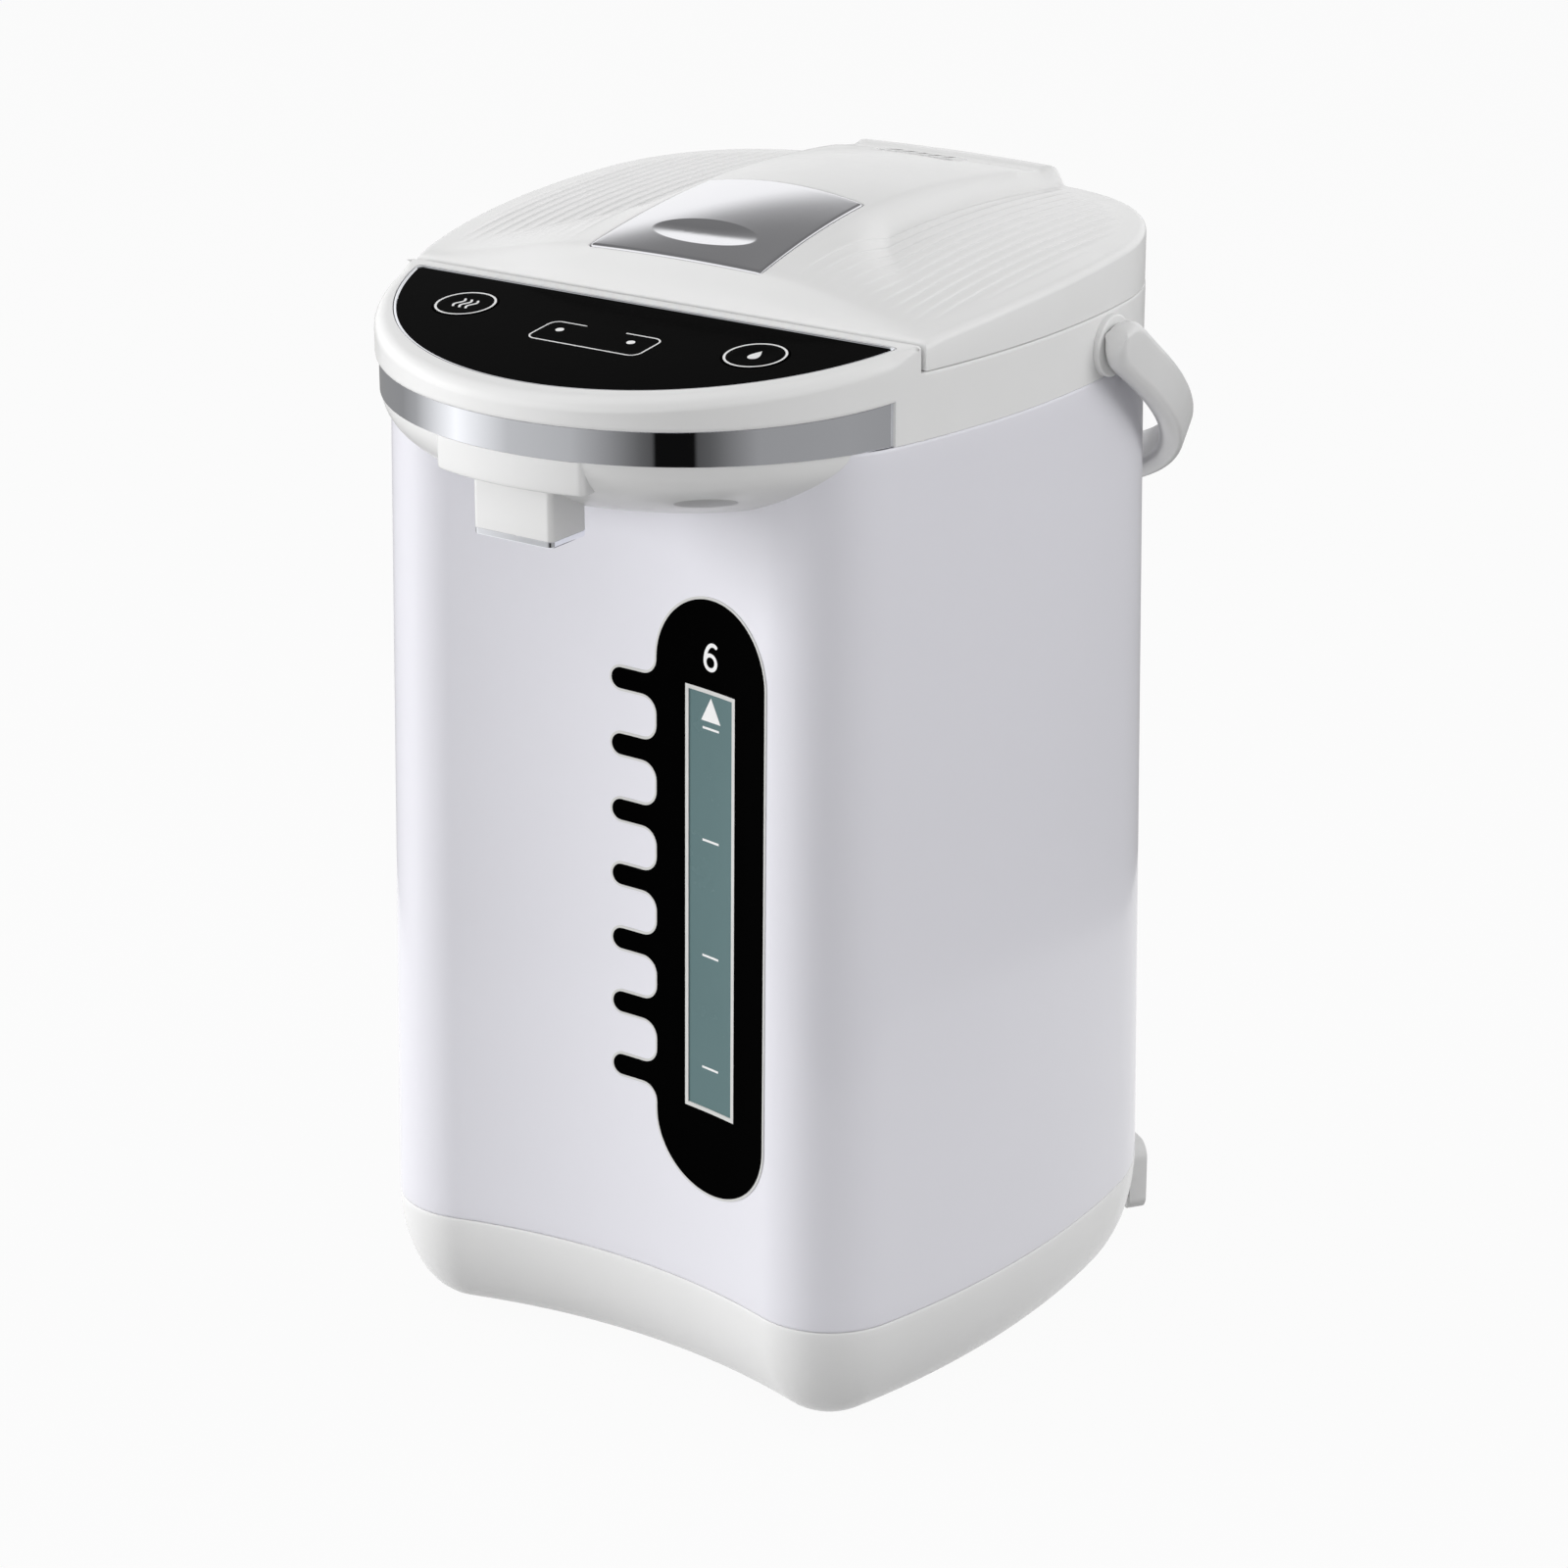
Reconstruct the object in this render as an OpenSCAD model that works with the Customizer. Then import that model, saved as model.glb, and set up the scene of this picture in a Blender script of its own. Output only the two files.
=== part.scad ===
// Electric hot water dispenser with an inner pot, a pumped spout, a hinged lid and a bail handle.
// Millimetres, +Z up, the front faces -Y. The feet stand on z = 0.

/* [Body] */
// Width of the body at the seam over the base
body_w = 230; // [200:1:260]
// Radius of the bowed body sides
side_r = 328.5; // [250:0.5:450]
// Radius of the two front corners
front_corner_r = 29; // [28:0.5:40]
// Radius of the hollow in the front face
front_hollow_r = 226; // [180:1:300]
// Turn of the side arc at the front corner, degrees
front_turn = 16; // [13:0.1:18]
// Radius of the two rear corners
rear_corner_r = 78; // [60:1:90]
// Radius of the rear face
rear_r = 222; // [180:1:300]
// Turn of the side arc at the rear corner, degrees
rear_turn = 7.7; // [5:0.1:10]
// Loss of width from the base seam to the collar seam, per cent
body_taper = 4.4; // [3.6:0.1:4.8]
// Thickness of the outer sheet
shell_t = 0.8; // [0.6:0.1:1.2]

/* [Levels] */
// Height of the rubber feet
foot_h = 3.5; // [3:0.5:4]
// Height of the seam between base and body
base_seam_z = 45; // [44:0.5:48]
// Height of the seam between body and collar
collar_seam_z = 344.5; // [340:0.5:352]
// Height of the collar deck that the lid closes on
collar_h = 21.9; // [21:0.1:24]

/* [Base] */
// Wall of the base moulding
base_t = 3.5; // [3:0.1:3.8]
// How far the base draws in at its rounded bottom edge
base_tuck = 23.5; // [18:0.5:24]
// Thickness of the chassis plate over the base
chassis_t = 2; // [1.5:0.1:2.2]
// Thickness of the bottom cover
cover_t = 3; // [2.5:0.1:3.5]
// Radius of a rubber foot
foot_r = 10; // [8:0.5:12]
// Radius of a bottom screw shank
screw_r = 1.8; // [1.5:0.1:2]
// Radius of a bottom screw head
screw_head_r = 3.5; // [3:0.1:4]

/* [Water pot] */
// Inner radius of the water pot
pot_r = 97; // [90:0.5:97.4]
// Sheet thickness of the pot
pot_t = 0.8; // [0.6:0.1:1]
// Place of the pot axis behind the body axis
pot_y = 7.6; // [7:0.1:8]
// Height of the pot floor, inside
pot_floor_z = 53; // [53:0.5:56]
// Radius of the mouth that the lid closes
mouth_r = 77; // [73:0.5:77.5]

/* [Lid] */
// Front edge of the lid, measured forward from the body axis
lid_front = 71.5; // [66:0.5:72]
// Height of the lid edge over the deck at the front
lid_edge_h = 8.6; // [8:0.1:10]
// Rise of the lid edge from front to rear
lid_edge_rise = 9.4; // [6:0.1:11]
// Height of the dome of the lid
lid_dome_h = 7; // [5:0.1:8]
// Height of the middle ridge of the lid
lid_ridge_h = 6.2; // [5:0.1:7]
// Height of the crown across the ridge
lid_crown_h = 4.4; // [3:0.1:5]
// Wall of the lid cover
lid_t = 2.6; // [2:0.1:3]
// Radius of the lid hinge pin
hinge_pin_r = 2.5; // [2:0.1:3]
// Radius of the lid hinge knuckles
hinge_knuckle_r = 5; // [4.5:0.1:5.4]

/* [Latch] */
// Length of the latch plate, front to rear
latch_len = 63; // [55:0.5:66]
// Half width of the latch plate at its front edge
latch_half_front = 34; // [28:0.5:36]
// Half width of the latch plate at its rear edge
latch_half_rear = 31; // [26:0.5:33]
// Radius of the latch pivot pin
latch_pin_r = 1.5; // [1.2:0.1:1.8]
// Half width of the latch bolt
bolt_half_w = 7.7; // [6:0.1:9]

/* [Control panel] */
// Centre of the rounded front of the collar, measured forward from the body axis
beak_centre = 54.6; // [50:0.1:58]
// Rear edge of the panel, measured forward from the body axis
panel_rear = 78; // [77:0.1:79]
// Height of the panel at its rear edge
panel_z = 373.8; // [373:0.1:375]
// Slope of the panel toward the front, degrees
panel_tilt = 7; // [6:0.1:8]
// Radius of the round panel edge
panel_r = 98; // [92:0.5:98]
// Thickness of the panel
panel_t = 2; // [1.5:0.1:2.2]
// Width of the thin bright edge round the panel
bezel_w = 1.1; // [0.8:0.1:1.3]
// Radius of a push button
button_r = 10.7; // [8:0.1:11]
// Spacing of the two push buttons
button_gap = 114.4; // [100:0.2:120]
// Travel of a push button
button_travel = 0.8; // [0.5:0.1:0.9]

/* [Spout] */
// Width of the spout
spout_w = 31; // [28:0.5:34]
// Depth of the spout
spout_d = 18.5; // [17.5:0.5:21]
// Corner radius of the spout
spout_r = 2; // [1:0.5:5]
// Height of the spout mouth over the table
spout_z = 314; // [312:0.5:317]
// Depth of the bowl under the rounded front
bowl_h = 33.4; // [32:0.1:36]
// Height of the bright band
band_h = 10.8; // [9:0.1:12]
// Thickness of the bright band
band_t = 1; // [0.8:0.1:1.2]

/* [Level gauge] */
// Distance of the gauge to the side of the body axis
gauge_x = 40.2; // [38:0.1:42]
// Width of the level window
window_w = 22.5; // [18:0.5:24]
// Height of the level window
window_h = 148; // [130:1:150]
// Height of the lower end of the window
window_z = 110.5; // [108:0.5:114]
// Outer radius of the glass sight tube
tube_r = 5; // [4.5:0.1:5.2]
// Wall of the glass sight tube
tube_t = 1.4; // [1:0.1:1.6]
// Thickness of the gauge film
film_t = 0.4; // [0.3:0.05:0.5]

/* [Handle] */
// Place of the handle pivots behind the body axis
pivot_y = 26.8; // [24:0.1:30]
// Height of the handle pivots
pivot_z = 355; // [354.5:0.1:355.5]
// Slope of the hanging handle under the horizontal, degrees
handle_drop = 36.3; // [34:0.1:38]
// Straight length of the handle arms
arm_len = 17.5; // [16:0.5:24]
// Thickness of the handle strap
strap_t = 8.4; // [7.5:0.1:9]
// Breadth of the handle strap
strap_b = 17; // [15:0.5:18]
// Radius of the handle pivot pins
pivot_r = 5; // [4:0.1:5.5]

/* [Pump] */
// Place of the pump in front of the body axis
pump_front = 45; // [44:0.5:46]
// Outer radius of the pump housing
pump_r = 22; // [20:0.5:22.5]
// Outer radius of the pump motor
motor_r = 17; // [15:0.5:18]
// Radius of the impeller
impeller_r = 14; // [12:0.5:15]

/* [Power inlet] */
// Direction that the power inlet faces, degrees from +X toward +Y
inlet_turn = 54; // [50:0.5:58]
// Width of the power inlet housing
inlet_w = 34; // [32:0.5:38]
// Height of the power inlet housing
inlet_h = 27; // [26:0.5:30]
// How far the inlet housing stands out from the rear corner
inlet_out = 5; // [4:0.5:7]

/* [Fits] */
// Radial play of a turning pin
pin_fit = 0.05; // [0.02:0.01:0.08]
// Seat between two parts that are assembled
seat = 0.2; // [0.1:0.05:0.3]
// Open gap round a moving part
free_gap = 0.35; // [0.3:0.05:0.5]

/* [Hidden] */
$fn = 64;

white = [0.9, 0.9, 0.89];
pearl = [0.87, 0.87, 0.9];
black = [0.03, 0.03, 0.035];
steel = [0.72, 0.73, 0.75];
chrome = [0.8, 0.81, 0.83];
rubber = [0.12, 0.12, 0.12];
silicone = [0.86, 0.87, 0.84];
board_green = [0.1, 0.33, 0.2];

// Plan outline of the body, right half, from the front centre to the rear centre
// A pot that needs more room than this share of the half width widens the whole plan
pot_share = 0.8505;
plan_k = max(1, (pot_r + pot_t) / (body_w / 2 * pot_share));
half_w = body_w / 2 * plan_k;
side_pr = side_r * plan_k;
corner_pr = front_corner_r * plan_k;
hollow_pr = front_hollow_r * plan_k;
rc_pr = rear_corner_r * plan_k;
rear_pr = rear_r * plan_k;
side_cx = -(side_pr - half_w);
fc = [side_cx + (side_pr - corner_pr) * cos(front_turn), -(side_pr - corner_pr) * sin(front_turn)];
hollow_y = fc[1] - sqrt(pow(hollow_pr + corner_pr, 2) - pow(fc[0], 2));
hollow_a = atan2(fc[1] - hollow_y, fc[0]);
rc = [side_cx + (side_pr - rc_pr) * cos(rear_turn), (side_pr - rc_pr) * sin(rear_turn)];
rear_cy = rc[1] - sqrt(pow(rear_pr - rc_pr, 2) - pow(rc[0], 2));
rear_a = atan2(rc[1] - rear_cy, rc[0]);
body_rear = rear_cy + rear_pr;

function arc(c, r, a0, a1, n) = [for (i = [0:n]) let (a = a0 + (a1 - a0) * i / n)
    [c[0] + r * cos(a), c[1] + r * sin(a)]];
function tail(p) = [for (i = [1:len(p) - 1]) p[i]];
function rear_half(w) = concat(tail(arc(rc, rc_pr - w, rear_turn, rear_a, 9)),
    tail(arc([0, rear_cy], rear_pr - w, rear_a, 90, 4)));
function body_half(w) = concat(arc([0, hollow_y], hollow_pr + w, 90, hollow_a, 7),
    tail(arc(fc, corner_pr - w, hollow_a - 180, -front_turn, 7)),
    tail(arc([side_cx, 0], side_pr - w, -front_turn, rear_turn, 6)), rear_half(w));
function both(h) = concat(h, [for (i = [len(h) - 2:-1:1]) [-h[i][0], h[i][1]]]);
function grown(p, k) = [for (q = p) q * k];
function raised(p, z) = [for (q = p) [q[0], q[1], z]];

// Levels and scales that follow from the sizes
collar_top_z = collar_seam_z + collar_h;
lid_z = collar_top_z + 0.3;
top_k = 1 - body_taper / 100;
shell_h = collar_seam_z - base_seam_z;
collar_rear = body_rear * top_k;
base_z = foot_h + 1.5;
cover_z = foot_h;
pot_top_z = collar_seam_z - 8.5;
chassis_z = base_seam_z + chassis_t;

// Plan outline of the collar and lid: the body outline at its top, with a round front
cs_x = side_cx * top_k;
cs_r = side_pr * top_k;
beak_r = cs_r - sqrt(cs_x * cs_x + beak_centre * beak_centre);
beak_a = atan2(-beak_centre, -cs_x);
beak_reach = beak_centre + beak_r;
function collar_half(w) = concat(arc([0, -beak_centre], beak_r - w, -90, beak_a, 16),
    tail(arc([cs_x, 0], cs_r - w, beak_a, rear_turn, 6)), grown(rear_half(w / top_k), top_k));

// Handle reach, and the shift that centres the whole assembly over the origin
strap_round = strap_t / 2 - 0.6;
collar_side_x = half_w * top_k;
arm_x = collar_side_x + 1.9 + strap_t / 2;
handle_reach = pivot_y + (arm_len + arm_x) * cos(handle_drop) + (strap_t / 2 - strap_round) *
    cos(handle_drop)
    + (strap_b / 2 - strap_round) * sin(handle_drop) + strap_round;
shift_y = (beak_reach - handle_reach) / 2;

module placed() {
    translate([0, shift_y, 0]) children();
}

// A closed skin through rings of equal point count
module loft(rings) {
    n = len(rings[0]);
    m = len(rings);
    pts = [for (r = rings) for (p = r) p];
    sides = [for (i = [0:m - 2]) for (j = [0:n - 1]) let (k = (j + 1) % n)
        each [[i * n + j, (i + 1) * n + j, i * n + k], [i * n + k, (i + 1) * n + j, (i + 1) * n + k]]];
    first = [[for (j = [0:n - 1]) j]];
    last = [[for (j = [n - 1:-1:0]) (m - 1) * n + j]];
    polyhedron(points = pts, faces = concat(sides, first, last));
}

// A closed skin whose last ring meets its first
module ring_loft(rings) {
    n = len(rings[0]);
    m = len(rings);
    pts = [for (r = rings) for (p = r) p];
    sides = [for (i = [0:m - 1]) for (j = [0:n - 1]) let (k = (j + 1) % n, h = (i + 1) % m)
        each [[i * n + j, h * n + j, i * n + k], [i * n + k, h * n + j, h * n + k]]];
    polyhedron(points = pts, faces = sides);
}

// A solid between an upper and a lower grid of points
module slab(gt, gb) {
    nr = len(gt);
    nc = len(gt[0]);
    s = nr * nc;
    pts = concat([for (r = gt) for (p = r) p], [for (r = gb) for (p = r) p]);
    rim = concat([for (c = [0:nc - 1]) c], [for (r = [1:nr - 1]) r * nc + nc - 1],
        [for (c = [nc - 2:-1:0]) (nr - 1) * nc + c], [for (r = [nr - 2:-1:1]) r * nc]);
    top = [for (r = [0:nr - 2]) for (c = [0:nc - 2]) let (a = r * nc + c)
        each [[a, a + nc, a + nc + 1], [a, a + nc + 1, a + 1]]];
    bottom = [for (r = [0:nr - 2]) for (c = [0:nc - 2]) let (a = s + r * nc + c)
        each [[a, a + nc + 1, a + nc], [a, a + 1, a + nc + 1]]];
    edge = [for (i = [0:len(rim) - 1]) let (a = rim[i], b = rim[(i + 1) % len(rim)])
        each [[a, b, b + s], [a, b + s, a + s]]];
    polyhedron(points = pts, faces = concat(top, bottom, edge));
}

module tube(r_out, r_in, h) {
    difference() {
        cylinder(r = r_out, h = h);
        translate([0, 0, -1]) cylinder(r = r_in, h = h + 2);
    }
}

module round_rect(w, d, r) {
    square([w - 2 * r, d], center = true);
    square([w, d - 2 * r], center = true);
    for (x = [-1, 1]) {
        for (y = [-1, 1]) {
            translate([x * (w / 2 - r), y * (d / 2 - r)]) circle(r = r);
        }
    }
}

// The tapered body as a solid, its wall drawn in by w
module body_solid(w) {
    translate([0, 0, base_seam_z]) linear_extrude(height = shell_h,
        scale = top_k) polygon(both(body_half(w)));
}

module along_x(x0, x1, y, z, r) {
    translate([x0, y, z]) rotate([0, 90, 0]) cylinder(r = r, h = x1 - x0);
}

module collar_prism(w, z0, z1) {
    translate([0, 0, z0]) linear_extrude(height = z1 - z0) polygon(both(collar_half(w)));
}

// Everything on the panel is drawn flat in this frame: x across, -y to the front, z out of the panel
module on_panel() {
    translate([0, -panel_rear, panel_z]) rotate([panel_tilt, 0, 0]) children();
}

// The D-shaped panel outline, grown by w
panel_back = panel_rear - 50.6;
module panel_shape(w) {
    intersection() {
        translate([0, panel_back]) circle(r = panel_r + w, $fn = 128);
        translate([-150, -150]) square([300, 150 + w]);
    }
}

/* Body and base */

window_top = window_z + window_h;
pipe_hole = [[12, 51], [collar_seam_z - 15, collar_seam_z + 1]];

module outer_shell() {
    color(pearl)
    difference() {
        body_solid(0);
        translate([0, 0, base_seam_z - 0.01]) linear_extrude(height = shell_h + 0.02, scale = top_k)
            polygon(both(body_half(shell_t)));
        translate([gauge_x - window_w / 2, -130, window_z]) cube([window_w, 60, window_h]);
        translate([pipe_hole[0][0], -130, pipe_hole[1][0]])
            cube([pipe_hole[0][1] - pipe_hole[0][0], 60, 20]);
    }
}

function tuck(z) = base_tuck * (1 - sqrt(max(0, 1 - pow((base_seam_z - z) / (base_seam_z - base_z), 2))));
base_steps = [0, 0.04, 0.13, 0.27, 0.46, 0.7, 1];
function base_ring(s,
    w) = let (z = base_z + (base_seam_z - base_z) * s) raised(both(body_half(tuck(z) + w)), z);

inlet_c = [rc[0] + rc_pr * cos(inlet_turn), rc[1] + rc_pr * sin(inlet_turn)];
inlet_z = 25.5;
module at_inlet() {
    translate([inlet_c[0], inlet_c[1], inlet_z]) rotate([0, 0, inlet_turn]) children();
}

module base_housing() {
    color(white)
    difference() {
        ring_loft(concat([for (s = base_steps) base_ring(s, 0)],
            [for (i = [len(base_steps) - 1:-1:0]) base_ring(base_steps[i], base_t)]));
        at_inlet() translate([-30, -inlet_w / 2 + 3, -inlet_h / 2 + 3])
            cube([60, inlet_w - 6, inlet_h - 6]);
    }
}

post_xy = [[78, -70], [-78, -70], [68, 68], [-68, 68]];
window_back = 1.4;
tube_gap = 2.25;
gauge_front = (hollow_y + sqrt(pow(hollow_pr, 2) - pow(gauge_x, 2))) * top_k;
hose_y = gauge_front + shell_t + window_back + tube_r + tube_gap;
// The pot gives way to the sight tube in front of it
tube_pot_gap = 2.5;
pot_cy = max(pot_y, hose_y + sqrt(pow(pot_r + pot_t + tube_r + tube_pot_gap, 2) - pow(gauge_x, 2)));

module chassis_plate() {
    color(steel)
    difference() {
        union() {
            translate([0, 0, base_seam_z]) linear_extrude(height = chassis_t)
                polygon(both(body_half(shell_t + 0.3)));
            for (p = post_xy) {
                translate([p[0], p[1], cover_z + cover_t]) cylinder(r = 5,
                    h = base_seam_z - cover_z - cover_t + 1);
            }
        }
        translate([0, pot_cy, base_seam_z - 1]) cylinder(r = 34, h = chassis_t + 2);
        translate([gauge_x, -pump_front, base_seam_z - 1]) cylinder(r = 11, h = chassis_t + 2);
        translate([gauge_x, hose_y, base_seam_z - 1]) cylinder(r = tube_r + 3, h = chassis_t + 2);
        for (p = post_xy) {
            translate([p[0], p[1], cover_z]) cylinder(r = screw_r + pin_fit, h = 22);
        }
    }
}

board_c = [-21, 31];
board_holes = [[-36, -26], [36, -26], [-36, 26], [36, 26]];

module bottom_cover() {
    color(white)
    difference() {
        union() {
            translate([0, 0, cover_z]) linear_extrude(height = base_z - cover_z)
                polygon(both(body_half(base_tuck + 1.5)));
            translate([0, 0, cover_z]) linear_extrude(height = cover_t)
                polygon(both(body_half(base_tuck + base_t + seat)));
            for (h = board_holes) {
                translate([board_c[0] + h[0], board_c[1] + h[1], cover_z + 1]) cylinder(r = 3.5, h = 10);
            }
        }
        for (p = post_xy) {
            translate([p[0], p[1], cover_z - 1]) cylinder(r = screw_r + pin_fit, h = cover_t + 2);
        }
        for (h = board_holes) {
            translate([board_c[0] + h[0], board_c[1] + h[1], cover_z + 4]) cylinder(r = 1.3, h = 10);
        }
    }
}

module bottom_screws() {
    color(steel)
    for (p = post_xy) {
        translate([p[0], p[1], cover_z - 1.8]) cylinder(r = screw_head_r, h = 1.8);
        translate([p[0], p[1], cover_z - 0.1]) cylinder(r = screw_r, h = 17);
    }
}

foot_xy = [[54, -61], [-54, -61], [48, 68], [-48, 68]];
module rubber_feet() {
    color(rubber)
    for (p = foot_xy) {
        translate([p[0], p[1], 0]) cylinder(r1 = foot_r - 0.8, r2 = foot_r, h = foot_h);
    }
}

/* Collar, spout and panel */

hood_rear = lid_front + 0.7;
hinge_y = collar_rear + hinge_knuckle_r + 0.6;
lug_x = [18, 27];
boss_r = collar_h / 2 - 0.6;
band_in = 1.2;
band_end = 83.7;
nozzle_y = -beak_reach + 6.5 + spout_d / 2;
panel_bed = panel_t + 2.4;

module hood_block(w, drop) {
    intersection() {
        collar_prism(w, collar_seam_z, panel_z + 6);
        translate([-150, -250, 0]) cube([300, 250 - hood_rear - w, 500]);
        on_panel() translate([-150, -120, -60]) cube([300, 140, 60.5 - drop]);
    }
}

module collar() {
    color(white)
    difference() {
        union() {
            collar_prism(0, collar_seam_z, collar_top_z);
            hood_block(0, 0);
            for (s = [-1, 1]) {
                along_x(s > 0 ? collar_side_x - 4 : -collar_side_x - 1.5,
                    s > 0 ? collar_side_x + 1.5 : 4 - collar_side_x,
                    pivot_y, pivot_z, boss_r);
                along_x(s > 0 ? lug_x[0] : -lug_x[1], s > 0 ? lug_x[1] : -lug_x[0], hinge_y, lid_z,
                    hinge_knuckle_r);
                translate([s > 0 ? lug_x[0] : -lug_x[1], collar_rear - 4, lid_z - hinge_knuckle_r])
                    cube([lug_x[1] - lug_x[0], hinge_y - collar_rear + 4, hinge_knuckle_r - 0.3]);
            }
        }
        difference() {
            collar_prism(3, collar_seam_z - 1, collar_top_z - 3);
            translate([-150, -250, 0]) cube([300, 250 - lid_front - 3, 500]);
        }
        intersection() {
            hood_block(3, panel_bed);
            translate([-150, -250, collar_seam_z]) cube([300, 300, 100]);
        }
        intersection() {
            collar_prism(3, collar_seam_z - 1, collar_top_z - 8);
            translate([-150, -250, 0]) cube([300, 250 - lid_front + 20, 500]);
        }
        translate([0, pot_cy, collar_seam_z]) cylinder(r = mouth_r + 1, h = 40);
        on_panel() translate([0, 0, -panel_t - seat]) linear_extrude(height = 10)
            panel_shape(bezel_w + seat);
        on_panel() translate([0, 0, -20]) linear_extrude(height = 30) panel_shape(-5);
        difference() {
            collar_prism(-1, collar_seam_z - 1, collar_seam_z + band_h + seat);
            collar_prism(band_in + band_t, collar_seam_z - 2, collar_seam_z + 20);
            translate([-150, seat - band_end, 0]) cube([300, 300, 500]);
        }
        translate([-bolt_half_w - free_gap, -hood_rear - 3.6, lid_z + 2])
            cube([2 * bolt_half_w + 2 * free_gap, 5, 20]);
        along_x(-60, 60, hinge_y, lid_z, hinge_pin_r + pin_fit);
        along_x(-150, 150, pivot_y, pivot_z, pivot_r + pin_fit);
    }
}

function bowl_arc(r, h, n) = [for (i = [0:n]) let (a = 90 * i / n) [r * cos(a),
    collar_seam_z - h * sin(a)]];
bowl_r = beak_r - band_in - band_t / 2;
nozzle_top = spout_z + 19.2;
block_w = spout_w + 23;
block_d = spout_d + 8;

module beak_underside() {
    color(white)
    difference() {
        union() {
            translate([0, -beak_centre, 0]) rotate_extrude($fn = 128) polygon(concat(bowl_arc(bowl_r,
                bowl_h, 12),
                [for (i = [12:-1:0]) bowl_arc(bowl_r - 2.5, bowl_h - 2.5, 12)[i]]));
            translate([0, nozzle_y + 1.6, nozzle_top])
                linear_extrude(height = collar_seam_z - nozzle_top - 0.2)
                round_rect(block_w, block_d, 4);
        }
        body_solid(-0.1);
        translate([-200, -beak_centre, 0]) cube([400, 400, 600]);
        pipe_run(pipe_r + seat, pipe_r - 0.4 + seat, 20, pipe_z - spout_z);
        translate([0, nozzle_y, spout_z - 1]) linear_extrude(height = nozzle_top - spout_z + 1.05)
            round_rect(spout_w + 2 * seat, spout_d + 2 * seat, spout_r + seat);
        translate([0, nozzle_y + 1, nozzle_top + 2.5]) linear_extrude(height = 40)
            round_rect(spout_w, spout_d - 4, 4);
    }
}

module chrome_band() {
    color(chrome)
    difference() {
        collar_prism(band_in, collar_seam_z, collar_seam_z + band_h);
        collar_prism(band_in + band_t, collar_seam_z - 1, collar_seam_z + 20);
        translate([-150, -band_end, 0]) cube([300, 300, 500]);
    }
}

trim_h = 2.2;
pipe_r = 5.5;

module nozzle() {
    color(white)
    difference() {
        translate([0, nozzle_y, spout_z + trim_h]) linear_extrude(height = nozzle_top - spout_z - trim_h)
            round_rect(spout_w, spout_d, spout_r);
        translate([0, nozzle_y, spout_z]) cylinder(r = pipe_r + seat, h = 60);
    }
}

module nozzle_trim() {
    color(chrome)
    difference() {
        translate([0, nozzle_y, spout_z]) linear_extrude(height = trim_h)
            round_rect(spout_w, spout_d, spout_r);
        translate([0, nozzle_y, spout_z - 1]) cylinder(r = pipe_r - 1.3, h = 10);
    }
}

button_fy = -22.2;
lens_xy = [[-14, -28.7], [14, -28.7]];
lens_r = 1.4;
board_drop = 7.6;
board_z = -panel_t - board_drop;
board_t = 1.6;
panel_board_w = 144;
panel_board_d = 44;
panel_board_y = -50;
board_notch = 26;
control_posts = [[-40, -10], [40, -10], [-22, -44], [22, -44]];

module control_panel() {
    color(black)
    on_panel()
    difference() {
        union() {
            translate([0, 0, -panel_t]) linear_extrude(height = panel_t) panel_shape(0);
            for (p = control_posts) {
                translate([p[0], p[1], board_z + 1.6]) cylinder(r = 3.2, h = -board_z - 1.6 - 0.5);
            }
        }
        for (s = [-1, 1]) {
            translate([s * button_gap / 2, button_fy, -20]) cylinder(r = button_r + free_gap, h = 40);
        }
        for (p = lens_xy) {
            translate([p[0], p[1], -20]) cylinder(r = lens_r + pin_fit, h = 40);
        }
        for (p = control_posts) {
            translate([p[0], p[1], board_z]) cylinder(r = 1.1 + pin_fit, h = 6);
        }
    }
}

module panel_bezel() {
    color(chrome)
    on_panel()
    difference() {
        translate([0, 0, -panel_t]) linear_extrude(height = panel_t + 0.3) panel_shape(bezel_w);
        translate([0, 0, -panel_t - 1]) linear_extrude(height = panel_t + 5) panel_shape(0.05);
    }
}

module push_button() {
    translate([0, 0, -panel_t]) cylinder(r = button_r, h = panel_t + 0.3);
    translate([0, 0, -panel_t - 1.1]) cylinder(r = 2.2, h = 2);
}

module reboil_button() {
    color(black) on_panel() translate([-button_gap / 2, button_fy, 0]) push_button();
}

module dispense_button() {
    color(black) on_panel() translate([button_gap / 2, button_fy, 0]) push_button();
}

module indicator_lenses() {
    color(silicone)
    on_panel()
    for (p = lens_xy) {
        translate([p[0], p[1], board_z + 1.6]) cylinder(r = lens_r, h = -board_z - 1.6 + 0.1);
    }
}

module control_board() {
    color(board_green)
    on_panel()
    difference() {
        translate([-panel_board_w / 2, panel_board_y, board_z])
            cube([panel_board_w, panel_board_d, board_t]);
        for (p = control_posts) {
            translate([p[0], p[1], board_z - 1]) cylinder(r = 1.1 + pin_fit, h = 6);
        }
        for (s = [-1, 1]) {
            translate([s * panel_board_w / 2, panel_board_y, board_z - 1]) rotate([0, 0, 45])
                cube([board_notch, board_notch, 8], center = true);
        }
    }
}

module control_board_screws() {
    color(steel)
    on_panel()
    for (p = control_posts) {
        translate([p[0], p[1], board_z - 1.2]) cylinder(r = 2.2, h = 1.2);
        translate([p[0], p[1], board_z - 0.1]) cylinder(r = 1.1, h = 5);
    }
}

module tact_switches() {
    color(rubber)
    on_panel()
    for (s = [-1, 1]) {
        translate([s * button_gap / 2 - 3.5, button_fy - 3.5, board_z + 1.6]) cube([7, 7, 3.2]);
        translate([s * button_gap / 2, button_fy, board_z + 4.7]) cylinder(r = 1.7, h = 0.4);
    }
}

/* Level gauge */

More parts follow.
